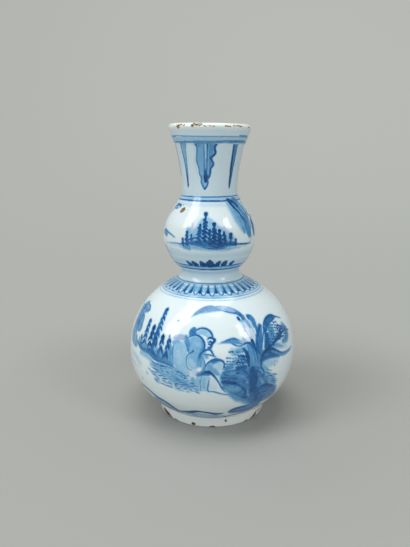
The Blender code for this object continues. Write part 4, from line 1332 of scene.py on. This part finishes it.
def pendant_leaf():
    """A broad leaf that hangs from the collar, scalloped down its sides, with a double rib."""
    leaf_rim = [
        (195, 143.3), (196, 145.2), (197, 147.8), (197, 152), (196.6, 157), (196.9, 162), (198.2, 166),
        (199.2, 169.8), (199.8, 174.2), (201.4, 177.8), (201.4, 182.1), (202.9, 185.8), (204.7, 189.2),
        (206.2, 187.2), (207.8, 183.6), (207.8, 179.3), (209.4, 176.2), (210.3, 172.3), (210.3, 168.9),
        (212, 166.8), (213.4, 163.8), (212.2, 161), (210.3, 157.8), (213.4, 155.6), (215.5, 152.5),
        (214.9, 149.4), (214.9, 147), (215.8, 145.2), (216.6, 143.3),
    ]
    neck.stain((
        ([(205, 142), (205, 160), (205, 184)], (24, 18, 8), 0.10, 4),
        ([(213.4, 143), (212, 150)], 4, 0.52, 2.5), ([(198.4, 142), (199.6, 146)], 4, 0.52, 2),
        ([(209.8, 160), (210, 164)], 2.5, 0.50, 1.5),
        ([(211.6, 146), (210.6, 156), (210.4, 166), (208.4, 177)], (6, 5, 4, 2), 0.52, 2),
        ([(193.4, 143), (195.6, 152), (194.8, 162), (197.6, 174)], 3, 0.14, 3),
    ))
    neck.fill(((leaf_rim, 0.40),))
    neck.paint((
        (leaf_rim[:13], (1.3, 1.0, 0.9, 0.9, 1.0, 1.1), (0.76, 0.66, 0.62, 0.66, 0.72)),
        (leaf_rim[12:], (1.0, 0.9, 1.2, 1.1, 1.2, 1.4, 1.3, 1.5), (0.84, 0.74, 0.86, 0.84, 0.90, 0.86, 0.88)),
        ([(202.8, 143.3), (204, 150), (204.2, 165), (204.6, 175), (205.2, 181)], (0.7, 0.8, 0.9, 1.4),
         (0.62, 0.68, 0.72, 0.86)),
        ([(207.5, 143.3), (207.3, 152), (207, 165), (206.5, 175), (205.6, 181)], (1.1, 0.9, 0.9, 1.4),
         (0.78, 0.70, 0.72, 0.86)),
        ([(205.9, 169), (205.7, 176), (205.5, 181.6)], (0.6, 3, 1.7), (0.66, 0.94, 1)),
    ))
    neck.stain((
        ([(205.4, 143), (205.6, 158)], 1.4, 0.40, 1), ([(205.2, 183.4), (205, 186)], 1.2, 0.34, 1),
    ), "lift")


def right_spike():
    """One of the narrow spikes between the leaves."""
    neck.fill((
        ([(234, 143.3), (233.2, 150), (231.2, 166), (228.6, 186.6), (230, 186.6), (233.6, 166), (236.8, 150),
          (238.2, 143.3)], 0.60),
    ))
    neck.paint((
        ([(234.2, 143.3), (233, 153), (231.2, 166), (230, 177), (229.2, 186)], (1.2, 1.5, 1.7, 1.5, 1.2),
         (0.90, 0.96, 1, 1, 1)),
        ([(237.8, 143.3), (236, 153), (233.2, 166), (230.8, 177)], (0.6, 0.7, 0.9, 0.8),
         (0.62, 0.66, 0.80, 0.96)),
    ))


def left_spike():
    """A paler spike."""
    neck.fill((
        ([(180.4, 143.3), (182, 150), (185, 163), (187.6, 186), (188.6, 186), (187.8, 172), (186.4, 156),
          (185.6, 143.3)], 0.38),
    ))
    neck.paint((
        ([(180.4, 143.3), (182.2, 151), (185, 163), (187, 175), (188.2, 186)], (0.8, 0.9, 0.9, 1.1, 1.1),
         (0.66, 0.66, 0.70, 0.84, 0.92)),
        ([(185.6, 143.3), (186, 152), (187, 163), (187.8, 174), (188.4, 185)], (0.7, 0.7, 0.8, 1),
         (0.46, 0.46, 0.56, 0.84)),
    ))


# Four leaves round the neck, not quite evenly spaced, with a spike in each space
paint_round(neck, (
    (0, 1, (pendant_leaf, left_spike, right_spike)), (108, 1, (pendant_leaf,)), (89, 1, (right_spike,)),
    (184, 1, (pendant_leaf,)), (176, 1, (right_spike,)), (270, 1, (pendant_leaf,)),
))
neck.paint((([(174.8, 142), (177.4, 153), (179.6, 164), (181.2, 174)], (1.8, 2.6, 2.6, 1.8), 0.66),))
# The faint blue cast of the glaze, outside and in
CAST_OUTSIDE, CAST_INSIDE = 0.08, 0.02
cast = np.where(neck.painted, CAST_OUTSIDE, CAST_INSIDE)
neck.layers["haze_and_shade"] = np.maximum(neck.layers["haze_and_shade"], cast)
neck.finish()
place_on_the_vase(neck, "neck")

# The lip collar
# It stands a little proud of the neck and ends in a thick round lip, whose edge is worn and chipped
# down to the buff body. Two lines and a light wash run round it.
LIP_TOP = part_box("lip_collar")[1].z / MM
COLLAR_RADIUS = 23.9
LIP_RADIUS = 27.3
LIP_THICKNESS = 4.2
LIP_ROUND = 2.6
COLLAR_EDGE_ROUND = 0.6

lip_middle = LIP_RADIUS - LIP_THICKNESS / 2
lip_round = [
    (lip_middle + LIP_THICKNESS / 2 * cos(turn), LIP_TOP - LIP_ROUND + LIP_ROUND * sin(turn))
    for turn in np.linspace(0, pi, 19)
]
lip_outside = [
    (NECK_MOUTH_RADIUS, COLLAR_FOOT), (COLLAR_RADIUS - COLLAR_EDGE_ROUND, COLLAR_FOOT),
    (COLLAR_RADIUS, COLLAR_FOOT + COLLAR_EDGE_ROUND), *lip_round[:10],
]
lip_inside = [(NECK_MOUTH_RADIUS - WALL_AT_NECK, COLLAR_FOOT), *lip_round[:9:-1]]
lip = Surface("lip_collar_piece", evenly(lip_outside, 60), evenly(lip_inside, 20), 360, 200)
ring(lip, 191.9, 0.8, 0.42, 0.3)
ring(lip, 188.6, 1.2, 0.54, 0.15)
band(lip, 190.3, 2.6, 0.24, 0.9)
# The blue cast is fainter on the lip. A leaf and a spike of the neck begin a little way up the collar.
LIP_BEGINS = 196
cast = np.where(lip.painted & (lip.height < LIP_BEGINS), CAST_OUTSIDE, CAST_INSIDE)
lip.layers["haze_and_shade"] = np.maximum(lip.layers["haze_and_shade"], cast)
lip.fill((
    ([(194.2, 140.8), (195, 143.4), (216.6, 143.4), (217.2, 140.8)], 0.46),
    ([(179.4, 141.2), (180, 143.4), (185.6, 143.4), (185.4, 141.2)], 0.42),
))
lip.paint((
    ([(171.4, 136.5), (175.8, 136.2)], (1.2, 1.3, 0.8), 0.52),
    ([(239.6, 135.6), (243.4, 136.2), (246.8, 136.4)], (0.7, 1.3, 1.4), 0.56),
    ([(216, 141), (226, 141.2), (236, 141.6), (244.4, 142)], (0.7, 1.2, 1.9, 1.9), (0.56, 0.62, 0.64)),
))
for spot, widths, depth in (
    ([(176.9, 125.9), (178.2, 126.3), (179.6, 125.2)], (1.4, 2.3, 1.2), 0.8),
    ([(177.8, 126.8), (178, 128)], (1.2, 0.9), 0.6),
    ([(180.6, 124.6), (181.8, 124.4)], (1.1, 0.9), 0.5), ([(183.2, 125.8), (184.4, 124.6)], (0.7, 0.8), 0.3),
    ([(191.6, 124.8), (192.8, 125.8)], (1.3, 1.4), 0.6), ([(193.8, 123.6), (196.2, 123.3)], (1.5, 1.2), 0.7),
    ([(195.6, 125.2), (197.6, 124.8)], (1, 1.1), 0.5), ([(198.2, 123.1), (200.8, 123)], (1.2, 1.2), 0.6),
    ([(199.4, 124.9), (202.4, 124.1)], (0.9, 0.8), 0.4),
    ([(203.8, 126.2), (205.6, 126.2)], (0.5, 0.5), 0.2),
    ([(208, 125.4), (212, 126.1), (216, 126.2)], (0.2, 0.5, 0.3), 0.2),
    ([(225.5, 125.9), (230.6, 126.5)], (0.7, 0.6), 0.3), ([(233.6, 125.6), (235.4, 126.1)], (0.5, 0.5), 0.2),
    ([(237, 125.7), (241.5, 126.3)], (0.9, 0.8), 0.4),
    ([(248.2, 127.2), (249.2, 127.4)], (0.8, 0.9), 0.4),
):
    lip.chip(lip.seen(spot), widths, depth, 0.8)
# The unseen side is worn in the same way
for start, end, width, depth in (
    (95, 101, 1.8, 0.7), (140, 143, 1.0, 0.4), (171, 180, 2.6, 1.0), (214, 216, 1.2, 0.5),
    (239, 246, 2.0, 0.8),
):
    spot = [(start, LIP_TOP - 1.6), ((start + end) / 2, LIP_TOP - 0.7), (end, LIP_TOP - 1.4)]
    lip.chip(lip.around(spot), (width * 0.6, width, width * 0.6), depth)
# Towards the top of the lip the white goes a light cream, partly the glaze worn thin and partly a
# painted highlight on the lip's upturned top
LIP_CREAM_FROM, LIP_CREAMIEST_FROM, LIP_WEAR_AND_HIGHLIGHT = 2.0, 0.8, 0.9
how_high = np.clip((lip.height - LIP_TOP + LIP_CREAM_FROM) / (LIP_CREAM_FROM - LIP_CREAMIEST_FROM), 0, 1)
lip.layers["thin_and_highlight"] = how_high * LIP_WEAR_AND_HIGHLIGHT
lip.finish()
place_on_the_vase(lip, "lip_collar")

# The floor and backdrop
# One sweep of pale grey card, matt and plain. It is flat under the vase and rises behind it in a wide
# curve, with no line where the floor turns up into the wall.
# The card's tones as the eye sees them: in the painted pool of light on the wall, and elsewhere
SWEEP = linear("#B9BBB6"), linear("#B1B4AF")
bpy.ops.object.select_all(action="DESELECT")
bpy.ops.mesh.primitive_plane_add(size=1, location=(0, 0.2, 0))
sweep = bpy.context.object
sweep.name = "backdrop"
bpy.ops.object.mode_set(mode="EDIT")
bpy.ops.transform.resize(value=(5.0, 3.0, 1))
bpy.ops.object.mode_set(mode="OBJECT")
for edge in sweep.data.edges:
    edge.select = all(sweep.data.vertices[end].co.y > 0 for end in edge.vertices)
for vertex in sweep.data.vertices:
    vertex.select = vertex.co.y > 0
for face in sweep.data.polygons:
    face.select = False
bpy.ops.object.mode_set(mode="EDIT")
bpy.ops.mesh.select_mode(type="EDGE")
bpy.ops.mesh.extrude_region_move(TRANSFORM_OT_translate={"value": (0, 0, 2.5)})
bpy.ops.object.mode_set(mode="OBJECT")
for vertex in sweep.data.vertices:
    vertex.select = vertex.co.y > 0 and vertex.co.z < 0.1
for edge in sweep.data.edges:
    edge.select = all(sweep.data.vertices[end].select for end in edge.vertices)
for face in sweep.data.polygons:
    face.select = False
bpy.ops.object.mode_set(mode="EDIT")
bpy.ops.mesh.bevel(offset=1.0, segments=24, affect="EDGES")
bpy.ops.object.mode_set(mode="OBJECT")
bpy.ops.object.shade_smooth()
card = bpy.data.materials.new("grey card")
card.use_nodes = True
tree = card.node_tree
shader = tree.nodes["Principled BSDF"]
shader.inputs["Base Color"].default_value = linear("#A4A5A1")
shader.inputs["Roughness"].default_value = 0.9
shader.inputs["Specular IOR Level"].default_value = 0.2
# To the eye and in the gloss it goes over into an even tone behind the vase and to its sides, with a
# painted pool of light round a place on the wall at the right. Places and distances are in metres.
SHADED_AT, SHADING_ENDS = (0, -0.2, 0), (0.09, 0.25)
PAINTED_LIGHT_AT, PAINTED_LIGHT_ENDS = (0.35, 1.5, 0.25), (0.2, 1.5)
where = add(tree, "TexCoord", out="Object")
far_off = add(tree, "VectorMath", where, SHADED_AT, out="Value", operation="DISTANCE")
far_off = add(tree, "MapRange", far_off, *SHADING_ENDS, **SOFTLY)
# The painted pool of light on the wall at the right
out_of_painted_light = add(tree, "VectorMath", where, PAINTED_LIGHT_AT, out="Value", operation="DISTANCE")
out_of_painted_light = add(tree, "MapRange", out_of_painted_light, *PAINTED_LIGHT_ENDS, **SOFTLY)
backdrop_tone = add(tree, "Mix", {0: out_of_painted_light, 6: SWEEP[0], 7: SWEEP[1]}, **AS_COLOURS)
backdrop_emission = add(tree, "Emission", backdrop_tone, 1.0)
looked_at = add(tree, "LightPath", out="Is Camera Ray")
for ray in ("Is Glossy Ray", "Is Transmission Ray"):
    looked_at = add(tree, "Math", looked_at, add(tree, "LightPath", out=ray), operation="MAXIMUM")
share = add(tree, "Math", far_off, looked_at, operation="MULTIPLY")
mixed = add(tree, "MixShader", share, shader.outputs[0], backdrop_emission)
tree.links.new(mixed, tree.nodes["Material Output"].inputs["Surface"])
sweep.data.materials.append(card)

# The light
# Soft lights stand high at the left and the right, and one hangs overhead. Two more, lower down at the
# left and in front, only fill the shadows and don't show in the gloss.


def softbox(name, size, place, aim, power, shows_in_the_gloss=True):
    """A rectangle of soft light at a place in metres, turned to face another, with its power in watts."""
    data = bpy.data.lights.new(name, "AREA")
    data.shape = "RECTANGLE"
    data.size, data.size_y = size
    data.energy = power
    lamp = bpy.data.objects.new(name, data)
    lamp.location = place
    lamp.visible_glossy = shows_in_the_gloss
    lamp.rotation_euler = (Vector(aim) - Vector(place)).to_track_quat("-Z", "Y").to_euler()
    bpy.context.scene.collection.objects.link(lamp)


softbox("left softbox", (0.60, 1.20), (-1.06, -0.48, 1.22), (0, 0, 0.1), 9.2)
softbox("left fill", (0.9, 0.7), (-1.45, -0.75, 0.34), (0, 0, 0.08), 0.9, False)
softbox("right softbox", (0.42, 0.60), (1.02, -0.78, 1.02), (0, 0, 0.1), 4.1)
softbox("overhead softbox", (1.2, 1.2), (-0.10, 0.04, 1.6), (0, 0, 0.1), 14.4)
softbox("front softbox", (1.3, 0.6), (0.0, -1.5, 0.50), (0, 0, 0.03), 6.2, False)
world = bpy.data.worlds.new("studio")
bpy.context.scene.world = world
world.use_nodes = True
world.node_tree.nodes["Background"].inputs["Color"].default_value = linear("#F2F4F4")
world.node_tree.nodes["Background"].inputs["Strength"].default_value = 0.28
